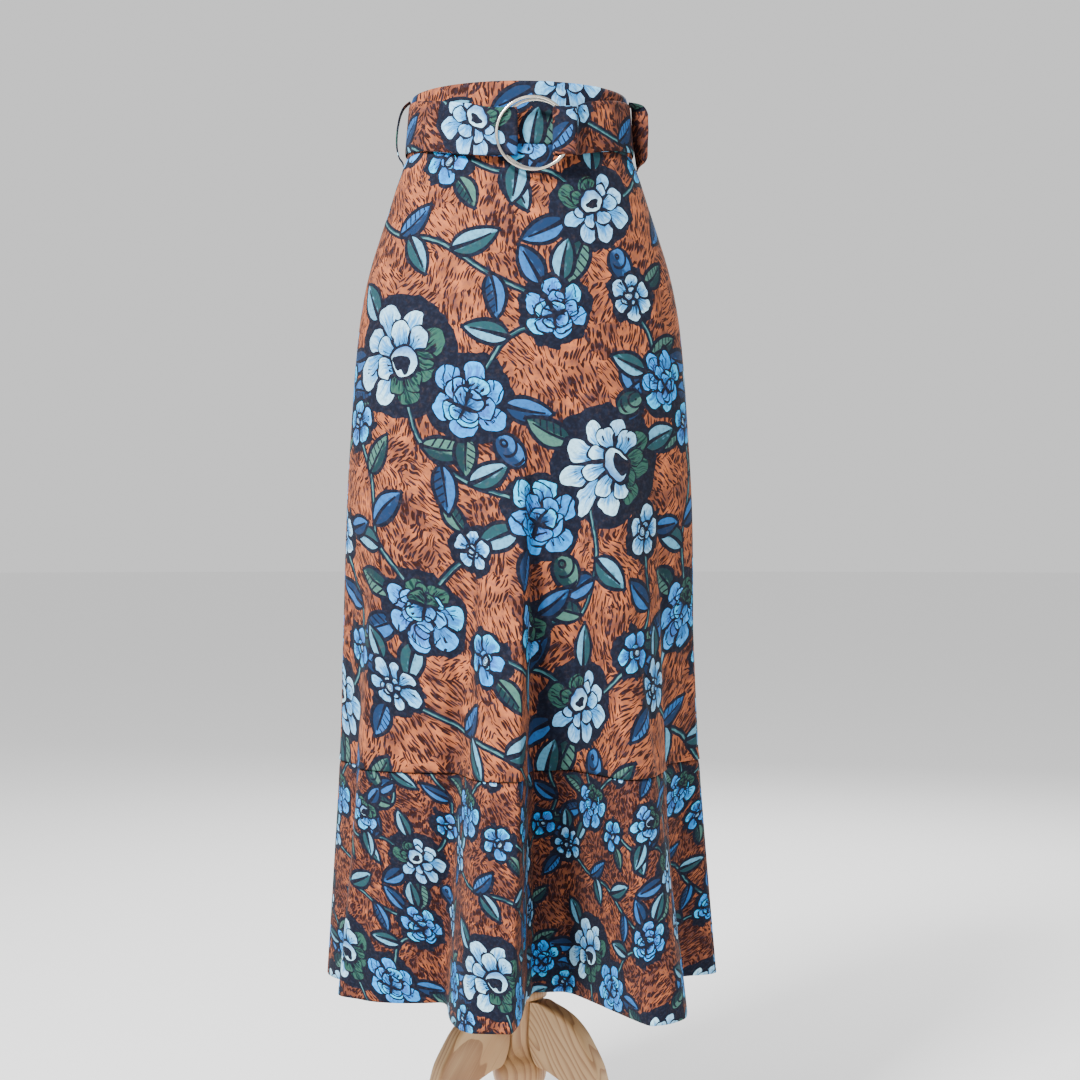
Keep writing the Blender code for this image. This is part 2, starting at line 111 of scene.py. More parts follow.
feed(world.node_tree.nodes["Background"], {"Color": (1.0, 1.0, 1.0), "Strength": SKY_STRENGTH})


def circle(count):
    """Angles at even steps round a circle."""
    return np.linspace(0.0, math.tau, count, endpoint=False)


floor_round = circle(FLOOR_SIDES)
floor_rim = np.stack([np.cos(floor_round), np.sin(floor_round), 0.0 * floor_round], axis=1) * FLOOR_RADIUS
pale_floor = plain_material("pale_floor", (FLOOR_GREY,) * 3, 0.9)[0]
floor = new_piece("floor", floor_rim, [range(FLOOR_SIDES)], pale_floor)

# -------- the wooden stand
# Three legs sawn from pale planks, glued to a turned post with a collar, and a round pole up to the form. The
# wood is oiled, with honey-coloured grain that runs along each part.
POST_PROFILE = (  # radius, height
    (0.0, 0.225), (0.0262, 0.225), (0.0283, 0.2236), (0.029, 0.2205), (0.029, 0.2185), (0.0283, 0.2158),
    (0.0262, 0.2147), (0.02, 0.2144), (0.0195, 0.2138), (0.0195, 0.19), (0.0195, 0.164), (0.0215, 0.157),
    (0.0265, 0.148), (0.0285, 0.139), (0.027, 0.129), (0.0215, 0.118), (0.015, 0.111), (0.012, 0.1062),
    (0.0, 0.106),
)
POLE_RADIUS, POLE_TOP, POLE_LOW, POLE_STEPS = 0.0125, 0.7377, 0.2253, 60
COLLAR_STEP, SHAFT_STEP, POST_SIDES, POLE_SIDES = 0.0010, 0.0020, 72, 40
LEG_THICK, LEG_ROUNDING, LEG_STEP, ROUNDING_STEPS = 0.024, 0.0045, 0.0030, 6
SHARP = math.radians(50.0)
LEG_OUTLINE = (  # reach from the post's axis, height: out along the upper edge, back along the lower
    (0.0198, 0.2125), (0.03, 0.2125), (0.046, 0.208), (0.061, 0.2005), (0.076, 0.187), (0.0876, 0.17),
    (0.0966, 0.154), (0.103, 0.134), (0.111, 0.11), (0.124, 0.08), (0.145, 0.053), (0.174, 0.034),
    (0.21, 0.024), (0.232, 0.02), (0.24, 0.011), (0.238, 0.0), (0.2, 0.0), (0.175, 0.006), (0.145, 0.019),
    (0.118, 0.04), (0.098, 0.065), (0.086, 0.093), (0.074, 0.116), (0.056, 0.133), (0.037, 0.143),
    (0.0268, 0.148), (0.0218, 0.157), (0.0198, 0.164),
)
LEG_CORNERS = (0, 15, 16, 24)  # places on the outline that stay sharp
LEG_AT_POST = (0.030, 0.042)  # over this reach, its rounding fades to the square edge at the post
GRAIN_LEAN, GRAIN_MIDDLE = math.radians(-56.0), (0.09, 0.14)  # from level; reach and height
GRAIN_OFF, GRAIN_ALONG, GRAIN_THROUGH = 0.012, 0.02, 0.31  # how the legs' grain differs
LEGS = (  # piece, solid, direction in degrees
    ("oak_leg_right", "leg_right", 60.0),
    ("oak_leg_left", "leg_left", -60.0),
    ("oak_leg_back", "leg_back", 180.0),
)


def linear(red, green, blue):
    """A colour from 0 to 255 on screen, as the linear numbers that a shader takes."""
    screen = np.array((red, green, blue)) / 255.0
    values = np.where(screen > 0.04045, ((screen + 0.055) / 1.055) ** 2.4, screen / 12.92)
    return tuple(float(v) for v in values)


WOOD_PALE, WOOD_MIDDLE, WOOD_LINE = linear(186, 152, 108), linear(166, 120, 74), linear(122, 78, 44)


def shader_node(kind, inputs, tree=None, **settings):
    """A shader node with its settings and inputs, in this tree or in that of the first input that has one."""
    if tree is None:
        tree = next(value.id_data for value in inputs.values() if hasattr(value, "id_data"))
    node = tree.nodes.new("ShaderNode" + kind)
    for key, value in settings.items():
        setattr(node, key, value)
    feed(node, inputs)
    return node


def calculate(operation, *values):
    """The result of a Math node."""
    return Field(shader_node("Math", dict(enumerate(values)), operation=operation).outputs[0])


def both_ways(operation):
    """A Math node's operation with the field on its left, and with the field on its right."""
    return lambda a, b: calculate(operation, a, b), lambda a, b: calculate(operation, b, a)


class Field:
    """A number that varies over a surface. Arithmetic on it adds Math nodes to its node tree."""

    __add__, __radd__ = both_ways("ADD")
    __sub__, __rsub__ = both_ways("SUBTRACT")
    __mul__, __rmul__ = both_ways("MULTIPLY")
    __truediv__, __rtruediv__ = both_ways("DIVIDE")
    __pow__, __lt__, __gt__ = (both_ways(kind)[0] for kind in ("POWER", "LESS_THAN", "GREATER_THAN"))

    def __init__(self, socket):
        self.socket, self.id_data = socket, socket.id_data

    def __abs__(self):
        return self.math("ABSOLUTE")

    def math(self, operation, *others):
        return calculate(operation, self, *others)


def fraction(value):
    return value.math("FRACT")


def least(first, *others):
    for other in others:
        first = first.math("MINIMUM", other)
    return first


def most(first, *others):
    for other in others:
        first = first.math("MAXIMUM", other)
    return first


def length(x, y):
    return (x * x + y * y) ** 0.5


def soft_step(low, high, value):
    """0 below low and 1 above high, with a smooth rise between."""
    ends = {"Value": value, "From Min": low, "From Max": high}
    return Field(shader_node("MapRange", ends, interpolation_type="SMOOTHSTEP").outputs["Result"])


def parts(socket):
    """The three numbers of a vector or colour."""
    return [Field(out) for out in shader_node("SeparateXYZ", {0: socket}).outputs]


def vector(x, y, z=0.0):
    return shader_node("CombineXYZ", {0: x, 1: y, 2: z}).outputs[0]


def noise(at, scale=1.0, detail=1.0, roughness=0.5):
    """Smooth noise from 0 to 1 at a place, as three fields that differ from each other."""
    inputs = {"Vector": at, "Scale": scale, "Detail": detail, "Roughness": roughness}
    return parts(shader_node("TexNoise", inputs).outputs["Color"])


def mix(factor, first, second):
    """The first colour where the factor is 0, and the second where it is 1."""
    return shader_node("Mix", {0: factor, 6: first, 7: second}, data_type="RGBA").outputs[2]


def new_group(name, inputs, outputs):
    """A shader node group: its tree, its inputs by name, and a function that sets its outputs by name."""
    tree = bpy.data.node_groups.new(name, "ShaderNodeTree")
    for way, labels in (("INPUT", inputs), ("OUTPUT", outputs)):
        for label, kind in labels.items():
            tree.interface.new_socket(label, in_out=way, socket_type="NodeSocket" + kind)
    given, out = tree.nodes.new("NodeGroupInput"), tree.nodes.new("NodeGroupOutput")

    def give(**values):
        feed(out, values)
        return tree

    return tree, given.outputs, give


def use_group(tree, group, **inputs):
    """A group placed in a node tree with its own values, and its outputs by name."""
    return shader_node("Group", inputs, tree, node_tree=group).outputs


def attribute(tree, name):
    """A mesh's vector attribute, as its material reads it."""
    return shader_node("Attribute", {}, tree, attribute_name=name).outputs["Vector"]


def relief(height, strength, distance):
    """The normals of a surface roughened by a height."""
    inputs = {"Height": height, "Strength": strength, "Distance": distance}
    return shader_node("Bump", inputs).outputs["Normal"]


def wood_group():
    """Sawn wood. At holds the place across the grain, along it, and through the plank. The growth rings are
    the distance from a far axis that wanders, and fine pores lie along the grain."""
    inputs, outputs = {"At": "Vector", "Warmth": "Float"}, {"Color": "Color", "Height": "Float"}
    _, given, give = new_group("wood", inputs, outputs)
    x, y, z = parts(given["At"])
    wander, drift, tone = noise(vector(x * 9.0, y * 2.4, z * 9.0), 2.2, 2.0)
    rings = length(x + (wander - 0.5) * 0.055 + 0.02, z * 0.8 + y * y * 1.7 + (drift - 0.5) * 0.02) * 190.0
    edge = fraction(rings)
    line = soft_step(0.35, 0.95, edge) * soft_step(1.0, 0.96, edge)
    pore, streak, _ = noise(vector(x * 900.0, y * 22.0, z * 900.0), 1.0, 2.0)
    colour = mix(line * 0.75, WOOD_PALE, WOOD_LINE)
    warm = soft_step(0.25, 0.8, tone + Field(given["Warmth"]) - 0.5)
    colour = mix(warm * 0.75, colour, mix(line * 0.6, WOOD_MIDDLE, WOOD_LINE))
    colour = mix(soft_step(0.58, 0.78, pore) * 0.34, colour, WOOD_LINE)
    colour = mix(soft_step(0.45, 0.75, streak) * 0.25, colour, WOOD_PALE)
    return give(Color=colour, Height=1.0 - pore * 0.5 - line * 0.3)


WOOD = wood_group()


def wood_material(name, warmth):
    material, tree, shader = plain_material(name, WOOD_PALE, 0.46)
    grain = use_group(tree, WOOD, At=attribute(tree, "grain_at"), Warmth=warmth)
    feed(shader, {"Base Color": grain["Color"], "Normal": relief(grain["Height"], 0.3, 0.0004)})
    return material


def set_vector(mesh, name, values, domain="POINT"):
    """A vector attribute on a mesh's points or corners."""
    layer = mesh.attributes.new(name, "FLOAT_VECTOR", domain)
    layer.data.foreach_set("vector", np.ascontiguousarray(values, np.float32).ravel())


def travelled(points):
    """The length along a line of points from its start to each of them."""
    return np.concatenate([[0.0], np.cumsum(np.linalg.norm(np.diff(points, axis=0), axis=1))])


def cubic(run, values, at):
    """A smooth curve through values along a run: a cubic between two values, each slope taken from the
    neighbours."""
    slopes = np.gradient(values, run)
    i = np.clip(np.searchsorted(run, at, side="right") - 1, 0, len(run) - 2)
    span = run[i + 1] - run[i]
    t = (at - run[i]) / span
    bent = span * (slopes[i] * t * (1 - t) ** 2 - slopes[i + 1] * t**2 * (1 - t))
    return values[i] * (1 + 2 * t) * (1 - t) ** 2 + values[i + 1] * t**2 * (3 - 2 * t) + bent


def through(points, step):
    """A smooth curve through the points, at even steps of their chords' length."""
    points = np.asarray(points, float)
    run = travelled(points)
    at = np.linspace(0.0, run[-1], max(2, int(round(run[-1] / step)) + 1))
    return np.stack([cubic(run, values, at) for values in points.T], axis=1)


def smoothed_share(value, low, high):
    """0 below low and 1 above high, rising as 3t^2 - 2t^3 between."""
    t = np.clip((value - low) / (high - low), 0.0, 1.0)
    return t * t * (3.0 - 2.0 * t)


def grid_faces(rows, columns, closed=False):
    """Quads over a grid of points that is stored row by row. A closed grid joins its last column to its
    first."""
    r, c = np.meshgrid(np.arange(rows - 1), np.arange(columns if closed else columns - 1), indexing="ij")
    a, b = r * columns + c, r * columns + (c + 1) % columns
    return np.stack([a, a + columns, b + columns, b], axis=-1).reshape(-1, 4)


def tube_faces(rows, columns):
    """The quads of a grid closed round its columns, and one face over each open end."""
    rim = list(range(columns))
    far_rim = [(rows - 1) * columns + i for i in rim[::-1]]
    return [*grid_faces(rows, columns, closed=True).tolist(), rim, far_rim]


def dress(piece, node):
    """Puts a finished piece in the place of a solid, on the only body."""
    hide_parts(node)
    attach(piece, "root")


def turned_piece(name, profile, node, segments):
    """A piece turned on a lathe: the profile's radius and height, swept round in a circle."""
    around = circle(segments)
    radius = np.maximum(profile[:, :1], 1e-5)
    x, y = radius * np.sin(around), -radius * np.cos(around)
    points = np.stack([x, y, np.broadcast_to(profile[:, 1:2], x.shape)], axis=-1).reshape(-1, 3)
    made = new_piece(name, points, grid_faces(len(profile), segments, closed=True).tolist(), POST_WOOD)
    set_vector(made.data, "grain_at", points[:, [0, 2, 1]] * (1.0, 0.35, 1.0) + (0.05, 0.0, 0.07))
    dress(made, node)


def leg_piece(name, node, azimuth_deg, number):
    """A plank leg: the outline, smooth between its corners, is carried over a half-round edge from one face
    to the other. Each step of the edge lies inside the outline by r - r * cos, and through the plank by r *
    sin."""
    looped = np.array([*LEG_OUTLINE, LEG_OUTLINE[0]])
    stops = [*LEG_CORNERS, len(LEG_OUTLINE)]
    rim = np.concatenate([through(looped[a : b + 1], LEG_STEP)[:-1] for a, b in zip(stops[:-1], stops[1:])])
    ahead = np.roll(rim, -1, axis=0) - np.roll(rim, 1, axis=0)
    inward = np.stack([ahead[:, 1], -ahead[:, 0]], axis=1) / np.linalg.norm(ahead, axis=1, keepdims=True)
    bend = np.linspace(0.0, math.pi / 2, ROUNDING_STEPS)
    ins = LEG_ROUNDING * (1.0 - np.cos(bend))
    deep = LEG_THICK / 2 - LEG_ROUNDING * (1.0 - np.sin(bend))
    inset, depth = np.concatenate([ins[::-1], ins]), np.concatenate([-deep[::-1], deep])
    plane = rim[None] + inward[None] * inset[:, None, None] * smoothed_share(rim[:, :1], *LEG_AT_POST)[None]
    reach, height, depths = plane[..., 0], plane[..., 1], np.broadcast_to(depth[:, None], plane.shape[:2])
    c, s = math.cos(math.radians(azimuth_deg)), math.sin(math.radians(azimuth_deg))
    points = np.stack([reach * s + depths * c, -reach * c + depths * s, height], axis=-1)
    made = new_piece(name, points, [face[::-1] for face in tube_faces(*depths.shape)], LEG_WOOD)
    made.data.set_sharp_from_angle(angle=SHARP)
    out, up = reach - GRAIN_MIDDLE[0], height - GRAIN_MIDDLE[1]
    c, s = math.cos(GRAIN_LEAN), math.sin(GRAIN_LEAN)
    across, along = up * c - out * s + GRAIN_OFF, out * c + up * s + GRAIN_ALONG * number
    grain = np.stack([across, along, depths + GRAIN_THROUGH * number], axis=-1)
    set_vector(made.data, "grain_at", grain)
    dress(made, node)


POST_WOOD, LEG_WOOD = wood_material("oiled_wood_post", 0.62), wood_material("oiled_wood_leg", 0.42)
collar, shaft = through(POST_PROFILE[1:8], COLLAR_STEP), through(POST_PROFILE[8:-1], SHAFT_STEP)
post_profile = np.concatenate([POST_PROFILE[:1], collar, shaft, POST_PROFILE[-1:]])
turned_piece("turned_post", post_profile, "post", POST_SIDES)
pole_heights = np.linspace(POLE_TOP, POLE_LOW, POLE_STEPS)[[0, *range(POLE_STEPS), -1]]
pole_radii = POLE_RADIUS * np.array([0, *[1] * POLE_STEPS, 0])
turned_piece("round_pole", np.stack([pole_radii, pole_heights], axis=1), "pole", POLE_SIDES)
for number, (name, node, azimuth) in enumerate(LEGS):
    leg_piece(name, node, azimuth, number)

# -------- the shape of the cloth
# The skirt hangs from the waist over the hips, and below them it falls in deep, uneven folds: two sharp
# ridges and a soft corner at the front, three at the back. Level sections give its shape, as in the solids
# under it.
SECTIONS = (  # height, half width, half depth, shift to the back
    (1.157, 0.1135, 0.0925, 0.0), (1.125, 0.115, 0.093, 0.0), (1.093, 0.1195, 0.0955, 0.001),
    (1.074, 0.1265, 0.1, 0.002), (1.045, 0.136, 0.1055, 0.004), (1.015, 0.146, 0.111, 0.006),
    (0.98, 0.157, 0.116, 0.008), (0.93, 0.1675, 0.121, 0.009), (0.88, 0.173, 0.123, 0.008),
    (0.82, 0.177, 0.1235, 0.006), (0.74, 0.1815, 0.124, 0.004), (0.6, 0.183, 0.125, 0.002),
    (0.465, 0.1835, 0.1265, 0.0), (0.35, 0.187, 0.1285, 0.0), (0.242, 0.191, 0.13, 0.0),
)
# A fold's crest runs between two angles, in degrees round from the centre front and positive towards +X.
# Reach is how far it stands out at the hem, start is where it begins, drift turns its top, and lean tips its
# crest over its foot.
FOLDS = (  # crest from, crest to, left flank, right flank, reach, start, drift, lean
    (-56.0, -49.0, 16.0, 40.0, 0.046, 0.8, 0.0, 0.0), (-8.0, -1.0, 21.0, 5.0, 0.131, 0.8, 3.0, 0.0),
    (9.0, 24.0, 6.0, 8.0, -0.03, 0.8, 0.0, 0.0), (32.0, 34.0, 5.0, 32.0, 0.123, 0.86, 0.0, -3.5),
    (70.0, 78.0, 12.0, 8.0, -0.018, 0.8, 0.0, 0.0), (87.0, 92.0, 8.0, 16.0, 0.016, 0.6, 0.0, 0.0),
    (127.0, 138.0, 20.0, 14.0, 0.07, 0.84, -4.0, 0.0), (148.0, 160.0, 10.0, 10.0, -0.016, 0.8, 0.0, 0.0),
    (176.0, 184.0, 14.0, 20.0, 0.131, 0.86, 2.0, 2.0), (206.0, 216.0, 10.0, 8.0, -0.012, 0.8, 0.0, 0.0),
    (227.0, 236.0, 13.0, 18.0, 0.076, 0.84, 4.0, 0.0), (262.0, 272.0, 14.0, 20.0, 0.011, 0.72, 0.0, 0.0),
)
WAIST_EDGE, WAIST_SEAM, FLOUNCE_SEAM, HEM_HEIGHT = 1.157, 1.093, 0.4655, 0.242
SIDE_SEAM_DEG, FINE_DEG = 86.0, 0.25  # where the side seams lie, and the step along a level section


def section(angle_deg, height, folded=True):
    """Points on the level sections: an ellipse's radius plus the folds' reach. Each fold grows downwards from
    its start as (share of the drop)^1.1, with a level crest and 3t^2 - 2t^3 flanks."""
    angle_deg, height = np.broadcast_arrays(np.asarray(angle_deg, float), np.asarray(height, float))
    angle = np.radians(angle_deg)
    heights, *sizes = np.array(SECTIONS)[::-1].T
    held = np.clip(height, heights[0], heights[-1])
    half_width, half_depth, shift = (cubic(heights, size, held) for size in sizes)
    radius = 1.0 / np.sqrt((np.sin(angle) / half_width) ** 2 + (np.cos(angle) / half_depth) ** 2)
    for crest_from, crest_to, left, right, reach, start, drift, lean in FOLDS if folded else ():
        grown = np.maximum(0.0, (start - height) / (start - HEM_HEIGHT)) ** 1.1
        middle = 0.5 * (crest_from + crest_to) + drift * (1.0 - grown)
        away = (angle_deg - middle + 180.0) % 360.0 - 180.0
        flank = np.where(away < 0.0, left, right)
        share = grown * (1.0 - smoothed_share(np.abs(away) - 0.5 * (crest_to - crest_from), 0.0, flank))
        radius = radius + reach * share
        angle = angle + np.radians(lean * share)
    return np.stack([radius * np.sin(angle), shift - radius * np.cos(angle), height], axis=-1)


def level_grid(heights, from_deg, to_deg, count, folded=True):
    """Points evenly spaced along each level section between two angles, as (rows, count + 1, 3), and each
    one's distance along its row, signed from the row's middle."""
    angles = np.arange(from_deg, to_deg + FINE_DEG / 2, FINE_DEG)
    fine = section(angles[None, :], np.asarray(heights)[:, None], folded)
    run = np.cumsum(np.linalg.norm(np.diff(fine, axis=1), axis=2), axis=1)
    run = np.concatenate([np.zeros((len(run), 1)), run], axis=1)
    total = run[:, -1:]
    shift = 2.0 * np.arange(len(run))[:, None]
    even = np.broadcast_to(np.linspace(0.0, 1.0, count + 1), (len(run), count + 1))
    known, wanted = (run / total + shift).ravel(), (even + shift).ravel()
    points = np.stack([np.interp(wanted, known, fine[..., k].ravel()) for k in range(3)], axis=-1)
    return points.reshape(len(run), count + 1, 3), (even - 0.5) * total


def grid_normals(points):
    """Unit normals of a grid of points whose rows go down and whose columns go round with the angle."""
    normals = np.cross(np.gradient(points, axis=0), np.gradient(points, axis=1))
    return normals / np.maximum(np.linalg.norm(normals, axis=-1, keepdims=True), 1e-12)


def level_out(ahead):
    """The level unit direction to the right of the way ahead: outwards, where the angle grows ahead."""
    out = np.stack([ahead[..., 1], -ahead[..., 0], 0.0 * ahead[..., 0]], axis=-1)
    return out / np.linalg.norm(out, axis=-1, keepdims=True)


# -------- the hip form
# A padded form of natural linen, from the waist to just below the hips, that carries the skirt. Its cover is
# cut in panels, with a seam down each side and at the centre front and back.
FORM_EASE, FORM_STEP, FORM_SIDES = 0.0024, 0.006, 180
FORM_CAP_PLACES = ((0.0, 0.03, 0.0), (0.0, -0.5, 0.0))  # of its two ends' middles on the cloth
FORM_ROWS = (  # height, and how far it lies inside the cloth's outside beyond the ease
    (1.15, 0.06), (1.15, 0.04), (1.1498, 0.016), (1.1488, 0.006), (1.145, 0.0012), (1.125, 0.0004),
    (1.093, 0.0003), (1.074, 0.0003), (1.045, 0.0003), (1.015, 0.0003), (0.98, 0.0003), (0.93, 0.0003),
    (0.88, 0.0005), (0.82, 0.0033), (0.78, 0.0125), (0.756, 0.0245), (0.743, 0.04), (0.7384, 0.056),
    (0.738, 0.072),
)
LINEN_LIGHT, LINEN_DARK = linear(222, 212, 192), linear(188, 174, 150)
LINEN_THREAD, LINEN_SEAMS = 0.0011, 0.25  # a thread's pitch, and the distance between seams


def weave_of(x, y, pitch):
    """Warp and weft as two crossed sine waves."""
    return (x * math.tau / pitch).math("SINE") * (y * math.tau / pitch).math("SINE")


def linen_material():
    material, tree, shader = plain_material("natural_linen", LINEN_LIGHT, 0.9)
    x, y, _ = parts(attribute(tree, "cloth_at"))
    slub, _, _ = noise(vector(x * 0.25, y * 2.0), 420.0, 3.0)
    cross_slub, _, _ = noise(vector(x * 2.0, y * 0.25, 4.0), 420.0, 3.0)
    weave = weave_of(x, y, LINEN_THREAD)
    seam = soft_step(0.0012, 0.0004, abs(fraction(x / LINEN_SEAMS + 0.5) - 0.5) * LINEN_SEAMS)
    colour = mix(soft_step(0.35, 0.7, slub * 0.5 + cross_slub * 0.5 + weave * 0.06), LINEN_LIGHT, LINEN_DARK)
    bumps = relief(slub + cross_slub + weave * 0.4 - seam, 0.5, 0.0006)
    feed(shader, {"Base Color": mix(seam * 0.7, colour, LINEN_DARK), "Normal": bumps, "Sheen Weight": 0.15})
    return material


form_curve = through(FORM_ROWS, FORM_STEP)
form_points, form_along = level_grid(form_curve[:, 0], 0.0, 360.0, FORM_SIDES, folded=False)
form_inset = (FORM_EASE + form_curve[:, 1])[:, None, None]
form_points = (form_points - level_out(np.gradient(form_points, axis=1)) * form_inset)[:, :-1]
form_caps = [[*row[:, :2].mean(axis=0), row[0, 2]] for row in form_points[[0, -1]]]
last = FORM_SIDES * (len(form_points) - 1)
form_faces = grid_faces(len(form_points), FORM_SIDES, closed=True).tolist()
form_faces += [[last + FORM_SIDES, i, (i + 1) % FORM_SIDES] for i in range(FORM_SIDES)]
form_faces += [[last + FORM_SIDES + 1, last + (i + 1) % FORM_SIDES, last + i] for i in range(FORM_SIDES)]
form_mesh_points = np.concatenate([form_points.reshape(-1, 3), form_caps])
linen_form = new_piece("linen_form", form_mesh_points, form_faces, linen_material())
form_along, form_drop = form_along[:, :-1], -travelled(form_curve)[:, None]
form_cloth = np.stack([form_along, np.broadcast_to(form_drop, form_along.shape), 0 * form_along], axis=-1)
set_vector(linen_form.data, "cloth_at", np.concatenate([form_cloth.reshape(-1, 3), FORM_CAP_PLACES]))
dress(linen_form, "form")

# -------- the print: its ground
# The cotton is printed in dense ink. Its ground is rust, brushed with short dark dashes that lie side by side
# in small patches, each patch combed its own way.
RUST, RUST_PALE, RUST_DEEP = linear(148, 84, 52), linear(182, 102, 61), linear(104, 58, 41)
INK, INK_WORN, DASH_INK = linear(15, 18, 31), linear(34, 43, 64), linear(40, 16, 12)
REVERSE = linear(160, 124, 104)
PATCH = 0.036  # across, in metres
DASH_PITCH = (0.0032, 0.0140)  # across and along the dashes
DASH_WIDTH = 0.38  # of the pitch


def cells_of(at, scale, randomness=1.0):
    """Scattered cells on the cloth: three random numbers for each, and the place of its middle."""
    inputs = {"Vector": at, "Scale": scale, "Randomness": randomness}
    node = shader_node("TexVoronoi", inputs, voronoi_dimensions="2D")
    return parts(node.outputs["Color"]), parts(node.outputs["Position"])[:2]


def turned_field(x, y, angle):
    """x and y in axes turned by an angle in radians."""
    c, s = angle.math("COSINE"), angle.math("SINE")
    return x * c + y * s, y * c - x * s


def floor_of(value):
    return value.math("FLOOR")


def ground_group():
    """At holds the place on the flat cloth, and Dense widens the dashes and darkens the ground between
    them."""
    _, given, give = new_group("combed_ground", {"At": "Vector", "Dense": "Float"}, {"Color": "Color"})
    dense = Field(given["Dense"])
    x, y, _ = parts(given["At"])
    bend_x, bend_y, tone = noise(given["At"], 45.0, 2.0)
    warped = vector(x + (bend_x - 0.5) * 0.035, y + (bend_y - 0.5) * 0.035)
    (lean, _, crowd), (from_x, from_y) = cells_of(warped, 1.0 / PATCH)
    across, along = turned_field(x - from_x, y - from_y, (lean - 0.5) * 2.2 + (bend_y - 0.5) * 0.9)
    across, along = across / DASH_PITCH[0] + floor_of(lean * 97.0), along / DASH_PITCH[1]
    (weight, reach, tilt), (middle_x, middle_y) = cells_of(vector(across, along), 1.0, 0.85)
    off = abs(across - middle_x + (along - middle_y) * (tilt - 0.5) * 0.9)
    end = abs(along - middle_y) / (0.30 + 0.34 * reach)
    width = (DASH_WIDTH + 0.22 * (crowd - 0.5) + dense * 0.14) * (0.45 + 0.85 * weight) * (1.0 - end**3.0)
    dash = soft_step(-0.05, 0.05, width - off + (bend_x - 0.5) * 0.2)
    colour = mix(soft_step(0.30, 0.62, bend_x), RUST_PALE, RUST)
    colour = mix(soft_step(0.38, 0.78, tone + (crowd - 0.5) * 0.25 + dense * 0.16), colour, RUST_DEEP)
    return give(Color=mix(dash, colour, DASH_INK))


GROUND = ground_group()

# -------- the print: stems, leaves and flowers
# Over the ground lie stems, pointed leaves, round buds and flowers, each drawn with a brush: flat blues,
# greens and whites inside a dark outline, on a dark border that closes the gaps in a cluster.
STEM_LIGHT, STEM_DARK = linear(70, 120, 124), linear(26, 60, 68)
LEAF_TONES = (  # light half, dark half
    (linear(66, 106, 95), linear(19, 46, 50)),
    (linear(38, 98, 160), linear(20, 44, 76)),
    (linear(92, 156, 186), linear(30, 66, 72)),
)
PETAL_TONES = (  # tip, middle and foot of a petal
    (linear(170, 219, 238), linear(56, 140, 204), linear(22, 50, 78)),
    (linear(0, 162, 250), linear(36, 108, 178), linear(18, 48, 84)),
)
PETAL_TURQUOISE, PETAL_LAVENDER = linear(20, 190, 248), linear(52, 108, 186)
PETAL_GREEN, PETAL_DARK_GREEN = linear(44, 84, 71), linear(11, 38, 39)
INK_WIDTH, LEAF_BORDER, BLOOM_BORDER = 0.0018, 0.0025, 0.0028
DRAWN = {"Color": "Color", "Cover": "Float"}  # what each motif's group gives
CLUSTER_BORDER = 0.0006  # of the dark filling round a flower, under its leaves


def stem_group():
    """A band along a curve. At holds the distance to the left of the curve, the length along it and half its
    width."""
    _, given, give = new_group("stem", {"At": "Vector"}, DRAWN)
    aside, along, half = parts(given["At"])
    wander, tone, _ = noise(vector(along, half * 40.0), 90.0)
    off = abs(aside + (wander - 0.5) * 0.0016)
    colour = mix(soft_step(0.4, 0.6, tone + aside * 160.0), STEM_LIGHT, STEM_DARK)
    return give(Color=mix(off > half * 0.62, colour, INK), Cover=off < half + LEAF_BORDER * 0.8)


def leaf_group():
    """A pointed leaf or bud. At holds the place along and across its midrib, and a random number. Kind holds
    its length, half its width, and its tone: 0 green, 1 blue, and 2 or 3 for the same tones in a round
    striped bud. Some green leaves have a pale blue half and a thick brushed rib."""
    _, given, give = new_group("leaf", {"At": "Vector", "Kind": "Vector"}, DRAWN)
    x, y, seed = parts(given["At"])
    seed = floor_of(seed * 64.0 + 0.5) / 64.0
    long, half, tone = parts(given["Kind"])
    bud = tone > 1.5
    blue = tone - bud * 2.0
    rough, streak, _ = noise(vector(x * 0.6, y * 1.6, seed * 9.0), 170.0, 2.0)
    t = (x / long).math("MAXIMUM", 0.0001).math("MINIMUM", 0.9999)
    bowed = y - (seed - 0.5) * long * 0.55 * t * (1.0 - t) * (1.0 - bud)
    pointed = t**0.60 * (1.0 - t) ** 0.85 * 2.66
    rounded = (t * (1.0 - t)) ** 0.5 * 2.0
    outline = half * (pointed + (rounded - pointed) * bud) + (rough - 0.5) * 0.0016
    off = abs(bowed)
    inside = least(outline - off, x, long - x)
    # veins slope from the midrib to the edge of the upper half, and strokes cross a bud in arcs
    veins = fraction(t * 6.5 - off / half * 0.9 + seed) < 0.16 + 0.2 * streak
    veins = veins * (bowed * (0.5 - seed) > 0.0) * (t > 0.12) * (t < 0.86) * (off > INK_WIDTH)
    arcs = fraction(length(x - long * 0.25, y * 1.25) / long * 3.6 + seed) < 0.30
    arcs = arcs * (bowed > half * -0.62) * (off / half + t < 1.34)
    brushed = (fraction(seed * 7.0) > 0.45) * (1.0 - bud)
    thick = (0.0006 + 0.0012 * (1.0 - t)) + brushed * (0.0018 * streak) * (1.0 - t)
    rib = (off < thick) * (t < 0.84)
    ink = most((inside < INK_WIDTH), veins * (1.0 - bud) * (1.0 - brushed), rib * (1.0 - bud), arcs * bud)
    two_tone = brushed * (1.0 - blue)
    light, dark = (mix(two_tone, mix(blue, *plain), pale) for *plain, pale in zip(*LEAF_TONES))
    shade = soft_step(0.34, 0.66, 0.5 + bowed / half * 0.8 + (streak - 0.5) * 1.1)
    return give(Color=mix(ink, mix(shade, dark, light), INK), Cover=inside > -LEAF_BORDER)


